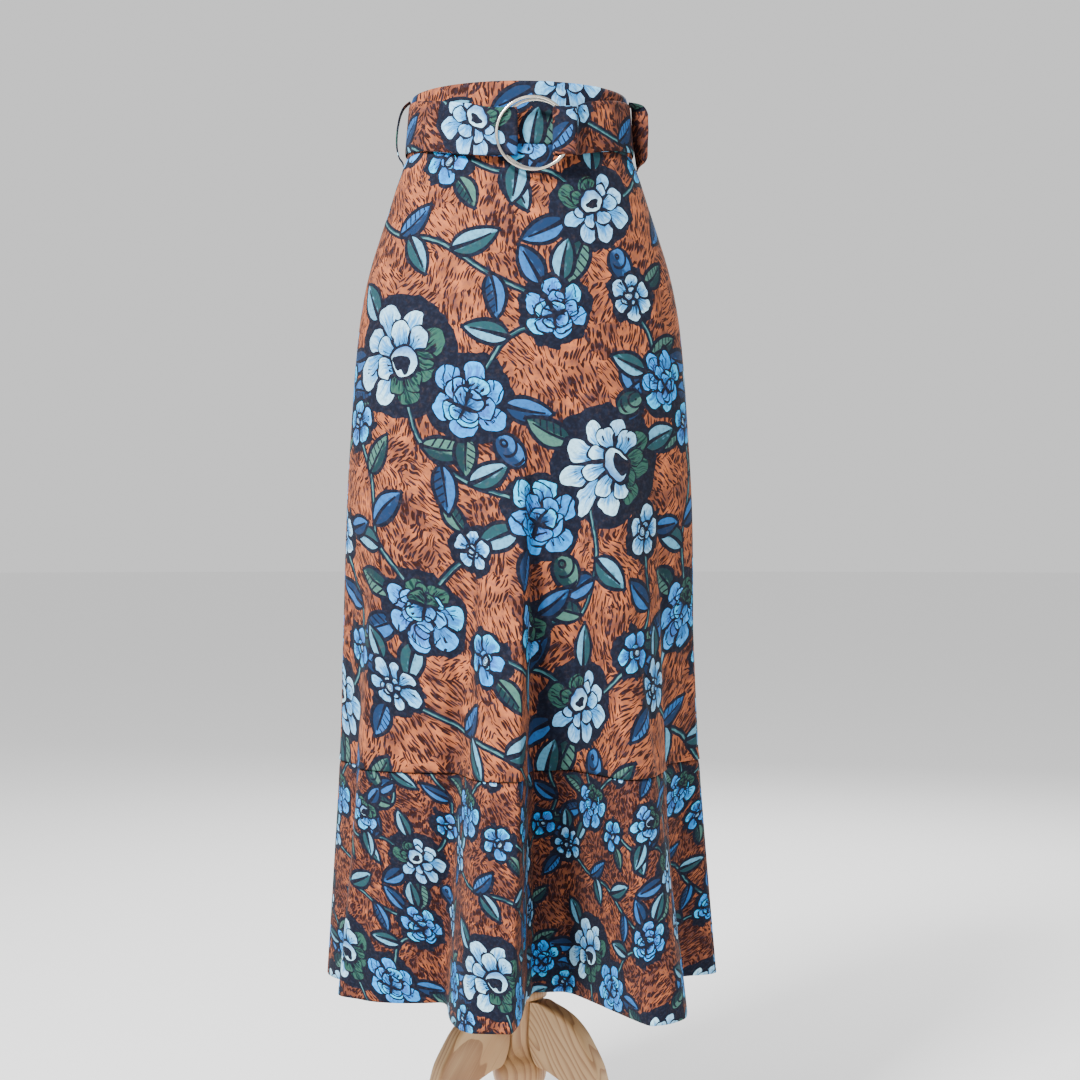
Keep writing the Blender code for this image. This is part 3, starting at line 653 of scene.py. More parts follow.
def bloom_group():
    """A flower of two or three rings of petals round an oval cup. At holds the place in radii from its
    middle, and a whole number, 0 for an open flower, 1 for a full one or 2 for a rose without a cup, plus a
    random fraction. Kind holds the count of petals, the tone from 0, white, to 1, blue, and the radius in
    metres. Near marks the dark filling round the flower."""
    _, given, give = new_group("bloom", {"At": "Vector", "Kind": "Vector"}, {**DRAWN, "Near": "Float"})
    raw_x, raw_y, code = parts(given["At"])
    count, blue, radius = parts(given["Kind"])
    count, blue = floor_of(count + 0.5), floor_of(blue * 20.0 + 0.5) / 20.0
    kind_of = floor_of(code)
    seed = floor_of((code - kind_of) * 64.0 + 0.5) / 64.0
    full, rose = least(kind_of, 1.0), kind_of > 1.5
    push_x, push_y, mottle = noise(vector(raw_x, raw_y, seed * 31.0), 1.9, 2.0)
    x, y = raw_x + (push_x - 0.5) * 0.34, raw_y + (push_y - 0.5) * 0.34
    lean_x, lean_y = (seed * 40.0).math("COSINE"), (seed * 40.0).math("SINE")

    def petals(shift, many, reach, notch, turn):
        """One ring: each petal's rim is reach * (1 - notch * s^3), where s runs from 0 at its middle to 1 at
        its sides. It gives the inside, the colour with its ink lines, and the way in from the rim."""
        dx, dy = x - lean_x * shift, y - lean_y * shift
        away = length(dx, dy)
        place = (dy.math("ARCTAN2", dx) / math.tau + 0.5) * many + turn + seed * 7.0
        which = floor_of(place).math("FLOORED_MODULO", many)
        side = fraction(place) - 0.5
        chances = shader_node("TexWhiteNoise", {"Vector": vector(which, seed, turn)})
        size, tint, kind = parts(chances.outputs["Color"])
        toward = ((which + 0.5 - turn - seed * 7.0) / many - 0.5) * math.tau - seed * 40.0
        green = (toward.math("COSINE") > 0.25 + kind * 0.5) * full * (1.0 - blue * 0.75 > 0.3)
        rim = reach * (1.0 - 0.20 * size - 0.06 * green) * (1.0 - notch * (abs(side) * 2.0) ** 2.6)
        t = away / rim
        edge = (rim - away) * radius
        gap = (0.5 - abs(side)) * away * radius * math.tau / many
        line = INK_WIDTH * (0.75 + mottle * 0.9)
        stroke, wash, _ = noise(vector(side * many * 0.9, t * 0.9, which + seed * 5.0), 2.4, 1.0)
        strokes = (stroke > 0.62 - green * 0.06) * (t < 0.80 - size * 0.25 + green * 0.1) * (t > 0.2)
        ink = most(edge < line, gap < line, strokes)
        tip, middle, foot = (mix(blue, *tones) for tones in zip(*PETAL_TONES))
        tip = mix(tint * 0.45, tip, middle)
        tip = mix((kind > 0.62) * blue, tip, PETAL_TURQUOISE)
        middle = mix((kind < 0.30) * blue, middle, PETAL_LAVENDER)
        level = t + (wash - 0.5) * 0.85
        colour = mix(soft_step(0.56, 0.90, level), middle, tip)
        colour = mix(soft_step(0.26, 0.50, level), foot, colour)
        colour = mix(green, colour, mix(soft_step(0.50, 0.70, wash + t * 0.2), PETAL_DARK_GREEN, PETAL_GREEN))
        return edge > 0.0, mix(ink, colour, INK), edge

    first_in, first, first_edge = petals(0.0, count, 1.0, 0.34, 0.0)
    second_in, second, _ = petals(0.10, count - 1.0, 0.42 + 0.26 * full, 0.30, 3.0)

    # the cup: an oval with a bright lip and a dark mouth
    ex, ey = turned_field(x - lean_x * 0.14, y - lean_y * 0.14, seed * 25.0)
    size = 0.20 + 0.11 * full
    oval = length(ex / (size * 0.78), ey / size)
    bite = (length(ex / size + 0.22, ey / size * 0.62) + (mottle - 0.5) * 0.9) < 0.42
    arcs = (fraction(oval * 2.3 + ex / size * 0.5) < 0.30) * (1.0 - full)
    cup = mix(soft_step(-0.8, 0.9, ex / size + (push_y - 0.5) * 2.0), PETAL_TONES[0][0], PETAL_TONES[1][1])
    cup = mix(most(bite * full, arcs, (1.0 - oval) * size * radius < INK_WIDTH), cup, INK)
    ring = oval < 1.0 + INK_WIDTH / (size * radius)

    # a rose has a third ring, and arcs brushed across its near side
    third_in, third, _ = petals(0.16, 4.0, 0.46, 0.24, 5.0)
    swirl = length(x + lean_x * 0.42, y + lean_y * 0.42)
    sweep = (fraction(swirl * 4.6 + mottle * 0.8) < 0.17) * (swirl < 0.95) * (push_x + mottle > 0.93) * rose

    colour = mix(first_in, INK, first)
    for share, over in (
        (second_in, second),
        (third_in * rose, third),
        (ring * (1.0 - rose), INK),
        ((oval < 1.0) * (1.0 - rose), cup),
        (sweep, INK),
    ):
        colour = mix(share, colour, over)
    # the border follows the petals, wider at some places than at others
    outside = first_edge * -1.0 + (mottle - 0.5) * 0.006
    away = (length(raw_x, raw_y) - 1.0) * radius + (push_x + push_y + mottle - 1.5) * 0.014
    return give(Color=colour, Cover=outside < BLOOM_BORDER, Near=away < CLUSTER_BORDER)


STEM, LEAF, BLOOM = stem_group(), leaf_group(), bloom_group()

# The print's repeat is charted in centimetres, 40 wide and 50 high.
REPEAT = np.array((40.0, 50.0))
BLOOMS = (  # x, y, radius, petals, 0 open, 1 full or 2 a rose, blue
    (9.2, 40.8, 6.4, 8, 1, 0.0), (17.0, 36.2, 4.6, 6, 2, 1.0), (2.8, 34.3, 2.8, 5, 0, 0.9),
    (31.2, 29.7, 6.2, 9, 1, 0.0), (23.8, 24.5, 4.6, 6, 2, 1.0), (37.0, 23.0, 3.0, 5, 0, 0.1),
    (7.8, 15.0, 4.4, 7, 2, 0.9), (14.5, 10.8, 2.9, 5, 0, 1.0), (2.0, 7.8, 3.1, 7, 0, 0.2),
    (30.0, 5.8, 4.7, 8, 1, 0.2), (37.0, 11.2, 2.7, 5, 0, 1.0), (25.8, 45.2, 3.8, 6, 2, 1.0),
    (34.2, 46.8, 2.8, 6, 0, 0.0), (22.3, 13.0, 3.5, 6, 1, 0.8), (38.3, 38.3, 3.6, 7, 2, 1.0),
    (15.0, 21.2, 2.5, 5, 0, 0.3),
)
# Stems run through these points and carry leaves at a place along them, on the left or right.
STEM_HALF_WIDTH = 0.20
STEMS = (
    ((10.0, 36.7), (11.7, 31.7), (15.8, 28.0), (20.8, 26.2)),
    ((32.5, 33.3), (35.0, 36.7), (36.7, 41.7), (34.7, 45.3)),
    ((7.2, 17.5), (4.5, 22.5), (4.7, 28.3), (3.2, 32.8)),
    ((16.2, 11.0), (20.0, 9.2), (24.7, 9.3), (27.8, 7.5)),
    ((32.8, 6.7), (35.8, 9.2), (39.2, 14.7), (38.0, 19.2), (37.2, 21.7)),
    ((23.8, 43.7), (20.8, 42.2), (18.5, 38.8)),
    ((3.7, 5.8), (8.3, 3.5), (13.8, 2.2), (19.2, -1.3), (24.2, -3.7)),
    ((10.0, 17.5), (12.5, 19.5), (14.2, 20.3)), ((29.2, 25.8), (30.8, 20.3), (29.2, 15.0), (24.2, 13.8)),
)
STEM_LEAVES = (  # stem, place, side, length, width, tone
    (0, 0.34, 1, 5.4, 2.2, 0), (0, 0.52, -1, 5.0, 2.1, 1), (0, 0.7, 1, 4.8, 2.1, 0),
    (1, 0.34, 1, 4.8, 2.1, 1), (1, 0.62, -1, 4.6, 1.9, 0), (2, 0.3, 1, 5.0, 2.1, 0),
    (2, 0.44, -1, 5.2, 2.2, 1), (2, 0.74, -1, 4.8, 2.1, 0), (3, 0.38, -1, 4.8, 2.1, 0),
    (3, 0.56, 1, 4.4, 1.9, 1), (4, 0.4, -1, 4.6, 1.9, 0), (4, 0.56, 1, 4.8, 2.0, 1),
    (5, 0.46, -1, 4.8, 2.0, 0), (6, 0.28, 1, 4.8, 2.0, 1), (6, 0.34, -1, 4.6, 2.0, 0),
    (6, 0.58, 1, 5.2, 2.2, 0), (6, 0.76, -1, 4.6, 1.9, 1), (8, 0.36, 1, 4.8, 2.1, 0),
    (8, 0.46, -1, 4.8, 2.1, 1), (8, 0.7, -1, 4.4, 2.0, 0),
)
# Leaves and buds (tones 2 and 3) that stand round the flowers, by the flower's row.
FLOWER_LEAVES = (  # flower, direction, length, width, tone
    (0, 128, 5.0, 2.5, 0), (0, 178, 4.8, 2.2, 1), (0, 222, 3.6, 2.6, 2), (1, 350, 4.8, 2.2, 1),
    (1, 306, 3.8, 2.5, 3), (1, 262, 4.2, 2.0, 0), (2, 210, 3.8, 1.8, 0), (3, 24, 4.8, 2.3, 0),
    (3, 66, 4.4, 2.1, 1), (3, 152, 4.8, 2.3, 0), (4, 200, 5.0, 2.3, 0), (4, 244, 4.6, 2.2, 1),
    (4, 300, 3.6, 2.5, 2), (5, 10, 3.8, 1.8, 1), (6, 150, 4.8, 2.1, 0), (6, 194, 4.8, 2.3, 1),
    (6, 240, 4.4, 2.1, 0), (7, 300, 3.8, 1.8, 0), (8, 232, 4.0, 1.9, 1), (8, 100, 3.6, 1.8, 0),
    (9, 205, 4.8, 2.2, 1), (9, 250, 4.8, 2.3, 0), (9, 296, 3.6, 2.5, 3), (9, 92, 4.4, 2.1, 0),
    (10, 340, 3.6, 1.8, 1), (11, 80, 4.4, 2.1, 0), (11, 120, 4.4, 2.1, 1), (12, 40, 3.8, 1.8, 0),
    (13, 262, 4.4, 2.1, 0), (13, 40, 4.0, 1.9, 1), (14, 350, 4.2, 2.0, 1), (14, 160, 4.2, 2.0, 0),
    (14, 206, 3.4, 2.4, 2), (15, 110, 3.6, 1.7, 0),
)
LEAF_LEAN = math.radians(52.0)  # from its stem
LEAF_START, BUD_START = 0.80, 0.98  # from the flower's middle, as shares of its radius
LEAF_HALF, BUD_HALF = 0.58, 0.52  # half widths, as shares of the widths in the tables
FAR = 9.0  # well clear of any motif
LAYER_GAP = 0.45  # between motifs on one layer
GOLDEN = 0.618034  # its multiples give each motif a random number


def smooth_curve(points, steps=12):
    """A curve through the points, by the Catmull-Rom cubic between each pair."""
    p = np.array(points, float)
    p = np.concatenate([[2 * p[0] - p[1]], p, [2 * p[-1] - p[-2]]])
    t = np.linspace(0.0, 1.0, steps, endpoint=False)[:, None]
    runs = [
        0.5 * (2 * b + (c - a) * t + (2 * a - 5 * b + 4 * c - d) * t**2 + (3 * b - a - 3 * c + d) * t**3)
        for a, b, c, d in zip(p[:-3], p[1:-2], p[2:-1], p[3:])
    ]
    return np.concatenate([*runs, p[-2:-1]])


def chart_leaves():
    """Each leaf as a row: base x, base y, direction in radians, length, half width and tone."""
    rows = []
    for stem, place, side, long, wide, tone in STEM_LEAVES:
        curve = smooth_curve(STEMS[stem])
        at = int(place * (len(curve) - 1))
        ahead = curve[min(at + 1, len(curve) - 1)] - curve[max(at - 1, 0)]
        direction = math.atan2(ahead[1], ahead[0]) + side * LEAF_LEAN
        rows.append((*curve[at], direction, long, wide * LEAF_HALF, tone))
    for bloom, degrees, long, wide, tone in FLOWER_LEAVES:
        x, y, radius = BLOOMS[bloom][:3]
        direction = math.radians(degrees)
        start, half = (BUD_START, BUD_HALF) if tone > 1 else (LEAF_START, LEAF_HALF)
        base = (x + radius * start * math.cos(direction), y + radius * start * math.sin(direction))
        rows.append((*base, direction, long, wide * half, tone))
    return np.array(rows)


def wrapped(difference):
    """The shortest way between two places on the repeat."""
    return difference - REPEAT * np.round(difference / REPEAT)


def leaf_distance(rows, at):
    """How far places lie from each leaf's body, taken as a capsule round its midrib."""
    direction = np.stack([np.cos(rows[:, 2]), np.sin(rows[:, 2])], axis=1)
    away = wrapped(at[:, None, :] - (rows[:, :2] + direction * rows[:, 3:4] / 2)[None])
    along = (away * direction).sum(axis=2)
    beyond = np.maximum(np.abs(along) - (rows[:, 3] / 2 - rows[:, 4] * 0.7), 0.0)
    aside = np.linalg.norm(away - along[..., None] * direction, axis=2)
    return np.hypot(beyond, aside) - rows[:, 4]


def split_layers(separation, count):
    """Puts each motif on the first layer where it stays clear of the motifs already there."""
    layers = [[] for _ in range(count)]
    for item in range(len(separation)):
        room = [min((separation[item, other] for other in layer), default=FAR) for layer in layers]
        choice = next((k for k, free in enumerate(room) if free > LAYER_GAP), int(np.argmax(room)))
        layers[choice].append(item)
    return [np.array(layer) for layer in layers]


LEAVES, BLOOM_TABLE = chart_leaves(), np.array(BLOOMS)
leaf_along = np.stack([np.cos(LEAVES[:, 2]), np.sin(LEAVES[:, 2])], axis=1)
leaf_apart = np.full((len(LEAVES), len(LEAVES)), FAR)
for k in np.linspace(0.05, 0.95, 7):
    middles = LEAVES[:, :2] + leaf_along * LEAVES[:, 3:4] * k
    half_widths = LEAVES[:, 4:5] * math.sin(math.pi * k)
    leaf_apart = np.minimum(leaf_apart, leaf_distance(LEAVES, middles) - half_widths)
bloom_apart = np.linalg.norm(wrapped(BLOOM_TABLE[:, None, :2] - BLOOM_TABLE[None, :, :2]), axis=2)
LEAF_LAYERS = split_layers(np.minimum(leaf_apart, leaf_apart.T), 3)
BLOOM_LAYERS = split_layers(bloom_apart - BLOOM_TABLE[:, None, 2] - BLOOM_TABLE[None, :, 2], 2)


def whole_numbers(items, key):
    """One whole number of each of a mesh's elements."""
    values = np.empty(len(items), np.int32)
    items.foreach_get(key, values)
    return values


def lay_print(mesh, flat, offset, scale):
    """Writes where each face corner lies on the print's nearest motif of each layer, as corner attributes.

    flat is each corner's place on the flat cloth in metres, and scale is the size of the print. A face looks
    up its motif by its middle, so that all of its corners share one motif's axes."""
    at = (flat / scale + np.array(offset)) * 100.0
    back = 0.01 * scale**0.5  # centimetres of the chart to metres; a small print is drawn with thinner lines
    totals = whole_numbers(mesh.polygons, "loop_total")
    middles = np.add.reduceat(at, whole_numbers(mesh.polygons, "loop_start")) / totals[:, None]
    owner = np.repeat(np.arange(len(totals)), totals)

    def write(name, *values):
        set_vector(mesh, name, np.stack([np.broadcast_to(v, len(at)) for v in values], axis=1), "CORNER")

    def from_motif(places):
        """Each corner's way from the place of its face's motif."""
        return wrapped(middles[owner] - places) + at - middles[owner]

    write("print_at", *(flat / scale).T, 0.0)
    for k, members in enumerate(LEAF_LAYERS):
        chosen = members[np.argmin(leaf_distance(LEAVES[members], middles), axis=1)][owner]
        row = LEAVES[chosen]
        (x, y), c, s = from_motif(row[:, :2]).T, np.cos(row[:, 2]), np.sin(row[:, 2])
        seed = np.round(np.modf(chosen * GOLDEN)[0] * 63) / 64
        write(f"leaf_{k}", (x * c + y * s) * back, (y * c - x * s) * back, seed)
        write(f"leaf_{k}_kind", row[:, 3] * back, row[:, 4] * back, row[:, 5])
    for k, members in enumerate(BLOOM_LAYERS):
        rows = BLOOM_TABLE[members]
        gap = np.linalg.norm(wrapped(middles[:, None] - rows[None, :, :2]), axis=2) - rows[:, 2]
        chosen = members[np.argmin(gap, axis=1)][owner]
        row = BLOOM_TABLE[chosen]
        seed = (np.round(np.modf(chosen * GOLDEN + 0.3)[0] * 61) + 1) / 64
        write(f"bloom_{k}", *(from_motif(row[:, :2]) / row[:, 2:3]).T, row[:, 4] + seed)
        write(f"bloom_{k}_kind", row[:, 3], row[:, 5], row[:, 2] * back)

    # the stems, as the short straight steps of their curves
    curves = [smooth_curve(stem) for stem in STEMS]
    steps = np.concatenate([np.diff(curve, axis=0) for curve in curves])
    halfway = np.concatenate([curve[:-1] for curve in curves]) + steps / 2
    lengths = np.linalg.norm(steps, axis=1)
    runs = np.concatenate([[0.0], np.cumsum(lengths)])[:-1]
    away = wrapped(middles[:, None] - halfway[None])
    along = (away * (steps / lengths[:, None])).sum(axis=2)
    beyond = np.maximum(np.abs(along) - lengths / 2, 0.0)
    aside = np.abs(away[..., 0] * steps[:, 1] - away[..., 1] * steps[:, 0]) / lengths
    nearest = np.argmin(np.hypot(beyond, aside), axis=1)
    chosen = nearest[owner]
    tangent = steps[chosen] / lengths[chosen][:, None]
    place = from_motif(halfway[chosen])
    left = tangent[:, 0] * place[:, 1] - tangent[:, 1] * place[:, 0]
    ahead = (place * tangent).sum(axis=1)
    ends = np.cumsum([len(curve) - 1 for curve in curves])
    first, final = np.isin(nearest, [0, *ends[:-1]]), np.isin(nearest, ends - 1)
    reached = np.take_along_axis(along, nearest[:, None], axis=1)[:, 0] / lengths[nearest]
    past = (first & (reached < -0.5)) | (final & (reached > 0.5))
    left = np.where(past[owner], FAR, left)
    write("stem", left * back, (runs[chosen] + ahead) * back, STEM_HALF_WIDTH * back)


def print_group():
    """The whole print, from the attributes that lay_print writes."""
    tree, given, give = new_group("print", {"Dense": "Float"}, {"Color": "Color"})
    print_at = attribute(tree, "print_at")
    colour = use_group(tree, GROUND, At=print_at, Dense=given["Dense"])["Color"]
    drawn = [use_group(tree, STEM, At=attribute(tree, "stem"))]
    for kind, group, layers in (("leaf", LEAF, LEAF_LAYERS), ("bloom", BLOOM, BLOOM_LAYERS)):
        for name in (f"{kind}_{k}" for k in range(len(layers))):
            at, motif = attribute(tree, name), attribute(tree, name + "_kind")
            drawn.append(use_group(tree, group, At=at, Kind=motif))
            if kind == "bloom":
                colour = mix(drawn[-1]["Near"], colour, INK)
    for layer in drawn:
        colour = mix(layer["Cover"], colour, layer["Color"])
    # the ink is a little worn and uneven, and so are the colours
    worn, faded, _ = noise(print_at, 210.0, 3.0, 0.6)
    colour = mix(soft_step(0.42, 0.70, worn) * 0.36, colour, INK_WORN)
    return give(Color=mix(soft_step(0.50, 0.80, faded) * 0.05, colour, REVERSE))


PRINT = print_group()

# -------- the cotton itself
# A plain-woven, slightly crisp cotton: a fine grain of threads, a little fuzz, and on the wrong side the
# print shows through paler.
THREAD_PITCH = 0.0006
FUZZ = {"Sheen Weight": 0.02, "Sheen Roughness": 0.5, "Specular IOR Level": 0.1}
WRONG_SIDE_PALER = 0.62


def weave_group():
    """Warp and weft with some slubs."""
    _, given, give = new_group("plain_weave", {"At": "Vector", "Pitch": "Float"}, {"Height": "Float"})
    x, y, _ = parts(given["At"])
    slub, _, _ = noise(given["At"], 260.0, 2.0)
    return give(Height=weave_of(x, y, Field(given["Pitch"])) * 0.25 + slub * 0.75)


WEAVE = weave_group()


def cotton_material(name, dense, paler=0.0):
    """The printed cotton. Dense widens the print's dashes and darkens the ground between them: the flounces,
    the belt and its loops are darker than the panels, and the waistband a little.
    """
    material, tree, shader = plain_material(name, RUST, 0.85)
    colour = use_group(tree, PRINT, Dense=dense)["Color"]
    colour = mix(paler, colour, REVERSE) if paler else colour
    weave = use_group(tree, WEAVE, At=attribute(tree, "print_at"), Pitch=THREAD_PITCH)["Height"]
    feed(shader, {"Base Color": colour, "Normal": relief(weave, 0.25, 0.0004), **FUZZ})
    return material


COTTON = cotton_material("printed_cotton", 0.0)
COTTON_REVERSE = cotton_material("printed_cotton_wrong_side", 0.0, WRONG_SIDE_PALER)
DENSE_COTTON = cotton_material("printed_cotton_dense", 1.2)

# -------- the skirt's panels
# A front and two back panels, flared from the hips and sewn at the sides and down the centre back. Soft
# creases run down from the waist seam and lie between the folds.
CLOTH, CELL = 0.0012, 0.0040  # the cloth's thickness, and the size of a quad
SEAM_DIP, SEAM_REACH = 0.0007, 0.0025
TUCK, TUCK_REACH = 0.0006, 0.004  # at the waist seam
BULGE, BULGE_REACH = 0.0008, 0.005  # over the flounce seam
UNDER_SEAM = 0.0001  # between two pieces at a seam
CREASE_FADE = 0.35
CREASES = (  # angle, top, bottom, width in degrees, depth, lean in degrees
    (-70, 1.08, 0.96, 3.0, -0.0006, 4), (-38, 1.086, 0.93, 2.6, -0.0006, -3),
    (-14, 1.07, 0.9, 3.2, 0.0008, 2), (6, 1.088, 0.96, 2.4, -0.0006, 2), (24, 1.08, 0.88, 3.0, 0.001, 4),
    (47, 1.086, 0.98, 2.8, -0.0006, -4), (66, 1.07, 0.86, 3.4, 0.001, 5), (-58, 0.9, 0.52, 3.6, 0.0022, -3),
    (-40, 0.78, 0.47, 3.0, -0.003, 4), (-31, 0.64, 0.3, 3.0, 0.0034, -4), (-18, 0.7, 0.42, 2.6, -0.003, 3),
    (16, 0.76, 0.33, 3.4, 0.0034, 3), (44, 0.74, 0.26, 3.0, -0.0034, 5), (56, 0.68, 0.36, 3.6, 0.003, -3),
    (63, 0.84, 0.56, 3.2, -0.0024, 4), (-66, 0.56, 0.242, 3.4, 0.003, 3), (-78, 0.76, 0.4, 3.0, -0.0026, -4),
    (80, 0.6, 0.25, 2.8, 0.0028, 4), (98, 1.08, 0.94, 3.0, -0.0006, -3), (112, 0.82, 0.4, 3.8, -0.0032, 4),
    (121, 0.6, 0.242, 3.2, 0.0034, -3), (140, 1.084, 0.9, 3.0, 0.0009, 3), (146, 0.76, 0.36, 3.2, 0.0032, 4),
    (165, 0.86, 0.46, 3.4, -0.003, -4), (172, 1.08, 0.95, 2.6, -0.0006, 2), (191, 0.74, 0.3, 3.0, -0.0034, 3),
    (200, 1.082, 0.88, 3.2, 0.001, -4), (220, 0.78, 0.42, 3.4, 0.003, 4), (238, 1.08, 0.92, 2.8, -0.0006, 3),
    (244, 0.64, 0.242, 3.2, -0.0034, -4), (254, 0.84, 0.5, 3.8, 0.0026, 3),
    (266, 1.076, 0.9, 3.0, 0.0009, -3), (-52, 0.42, 0.242, 2.6, -0.0026, 2),
    (-4, 0.52, 0.242, 2.4, -0.0024, 3), (36, 0.42, 0.242, 2.2, 0.0024, 3), (72, 0.4, 0.242, 2.8, -0.0026, 3),
)
PANELS = (  # piece, solid, its side seams, where its print starts
    ("panel_front", "skirt_front", -SIDE_SEAM_DEG, SIDE_SEAM_DEG, (0.22, 0.62)),
    ("panel_back_right", "skirt_back_right", SIDE_SEAM_DEG, 180.0, (0.55, 0.32)),
    ("panel_back_left", "skirt_back_left", 180.0, 360.0 - SIDE_SEAM_DEG, (0.10, 0.46)),
)


def crease_relief(angle_deg, height):
    """How far the cloth stands out in its creases: each is a soft ridge or trough whose angle leans as it
    goes down, with a cross-section of exp(-d^2) and its ends fading over a third of its length, but not at
    the hem."""
    out = np.zeros(np.broadcast(angle_deg, height).shape)
    for angle, top, bottom, width, depth, lean in CREASES:
        share = np.clip((top - height) / (top - bottom), 0.0, 1.0)
        away = (angle_deg - angle - lean * (share - 0.5) + 180.0) % 360.0 - 180.0
        wave = np.exp(-((away / (width * (0.75 + 0.5 * share))) ** 2))
        fade = 1.0 if bottom <= HEM_HEIGHT else smoothed_share(1.0 - share, 0.0, CREASE_FADE)
        out += depth * wave * (smoothed_share(share, 0.0, CREASE_FADE) * fade)
    return out


def dip(away, reach):
    """A groove's depth from 1 at its middle: exp(-(d / reach)^2)."""
    return np.exp(-((away / reach) ** 2))


def cloth_piece(name, node, points, lift, flat, thick, print_from, scale, *cottons):
    """A sheet of cloth: a grid of points raised along its normals by lift, the same grid set in by one
    thickness, and a rim that joins them. flat holds each grid point's place on the flat cloth."""
    rows, columns = points.shape[:2]
    size = rows * columns
    outer = points + grid_normals(points) * lift[..., None]
    inner = outer - grid_normals(outer) * thick
    front = grid_faces(rows, columns)
    index = np.arange(size).reshape(rows, columns)
    border = np.concatenate([index[0, :-1], index[:-1, -1], index[-1, :0:-1], index[:0:-1, 0]])
    after = np.roll(border, -1)
    rim = np.stack([border, after, after + size, border + size], axis=1)
    faces = np.concatenate([front, (front + size)[:, ::-1], rim])
    made = new_piece(name, np.concatenate([outer, inner]), faces.tolist(), *cottons)
    inside = np.zeros(len(faces), np.int32)
    inside[len(front) : 2 * len(front)] = 1
    made.data.polygons.foreach_set("material_index", inside)
    corners = whole_numbers(made.data.loops, "vertex_index") % size
    lay_print(made.data, flat.reshape(-1, 2)[corners], print_from, scale)
    dress(made, node)
    return made


def cloth_panel(name, node, cut, print_from, scale, cotton, tuck, bulge=0.0):
    """A panel between two seams and two heights, in its folds and creases. Its edges dip into their seams,
    and its lower edge may bulge over one."""
    top, bottom, from_deg, to_deg = cut
    cell = CELL * scale**0.5
    heights = np.linspace(top, bottom, int(round((top - bottom) / cell)) + 1)
    longest = level_grid([bottom], from_deg, to_deg, 8)[1][0, -1] * 2.0
    points, along = level_grid(heights, from_deg, to_deg, int(round(longest / cell)))
    height = heights[:, None]
    lift = crease_relief(np.degrees(np.arctan2(points[..., 0], -points[..., 1])), height)
    lift -= SEAM_DIP * dip(along[:, -1:] - np.abs(along), SEAM_REACH)
    lift -= tuck * dip(top - height, TUCK_REACH)
    lift += bulge * dip(height - bottom, BULGE_REACH)
    flat = np.stack([along, np.broadcast_to(height - top, along.shape)], axis=-1)
    panel = cloth_piece(name, node, points, lift, flat, CLOTH, print_from, scale, cotton, COTTON_REVERSE)
    wide = along[:, -1] * 2.0
    area = float(((wide[1:] + wide[:-1]) / 2 * -np.diff(heights)).sum())
    flat_size = (round(float(wide.max()), 4), round(top - bottom, 4))


for name, node, from_deg, to_deg, print_from in PANELS:
    cut = (WAIST_SEAM, FLOUNCE_SEAM + UNDER_SEAM, from_deg, to_deg)
    cloth_panel(name, node, cut, print_from, 1.0, COTTON, TUCK, BULGE)

# -------- the flounces
# A front and a back flounce carry the same print at six tenths of its size. They hang from the seam at knee
# height, tucked under the panels' edge.
FLOUNCE_SCALE, FLOUNCE_TUCK = 0.60, 0.0010
BACK_PANELS = ["panel_back_right", "panel_back_left"]
FLOUNCES = (  # piece, solid, its side seams, where its print starts, what it hangs on
    ("flounce_front_panel", "flounce_front", -SIDE_SEAM_DEG, SIDE_SEAM_DEG, (0.30, 0.20), ["panel_front"]),
    ("flounce_back_panel", "flounce_back", SIDE_SEAM_DEG, 360.0 - SIDE_SEAM_DEG, (0.05, 0.44), BACK_PANELS),
)
for name, node, from_deg, to_deg, print_from, hangs_on in FLOUNCES:
    cut = (FLOUNCE_SEAM - UNDER_SEAM, HEM_HEIGHT, from_deg, to_deg)
    cloth_panel(name, node, cut, print_from, FLOUNCE_SCALE, DENSE_COTTON, FLOUNCE_TUCK)

# -------- the waistband
# A straight band of two layers, folded at its top edge and closed at the centre back. The skirt's panels are
# sewn into its lower edge.
WAISTBAND_CLOTH, WAISTBAND_HEIGHT, WAISTBAND_LENGTH = 0.0018, 0.064, 0.680
BAND_ROWS, BAND_COLUMNS = 22, 226
BAND_FOLD, BAND_FOLD_REACH = 0.0008, 0.0014  # rounded in at its top edge
BAND_DIP, BAND_DIP_REACH = 0.0006, 0.003  # at the waist seam
# Its cotton is a little darker than the panels': wider dashes on a deeper rust ground.
WAIST_COTTON = cotton_material("printed_cotton_waist", 0.5)
band_heights = np.linspace(WAIST_EDGE, WAIST_SEAM + 2 * UNDER_SEAM, BAND_ROWS)
band_points, band_along = level_grid(band_heights, -180.0, 180.0, BAND_COLUMNS)
from_top = WAIST_EDGE - band_heights[:, None]
band_lift = -BAND_FOLD * dip(from_top, BAND_FOLD_REACH)
band_lift = band_lift - BAND_DIP * dip(WAISTBAND_HEIGHT - from_top, BAND_DIP_REACH)
band_lift = band_lift - SEAM_DIP * dip(band_along[:, -1:] - np.abs(band_along), SEAM_REACH)
band_flat = np.stack([band_along, np.broadcast_to(-from_top, band_along.shape)], axis=-1)
band = ("waist_band", "waistband", band_points, band_lift, band_flat, WAISTBAND_CLOTH)
waist = cloth_piece(*band, (0.25, 0.55), 1.0, WAIST_COTTON, WAIST_COTTON)

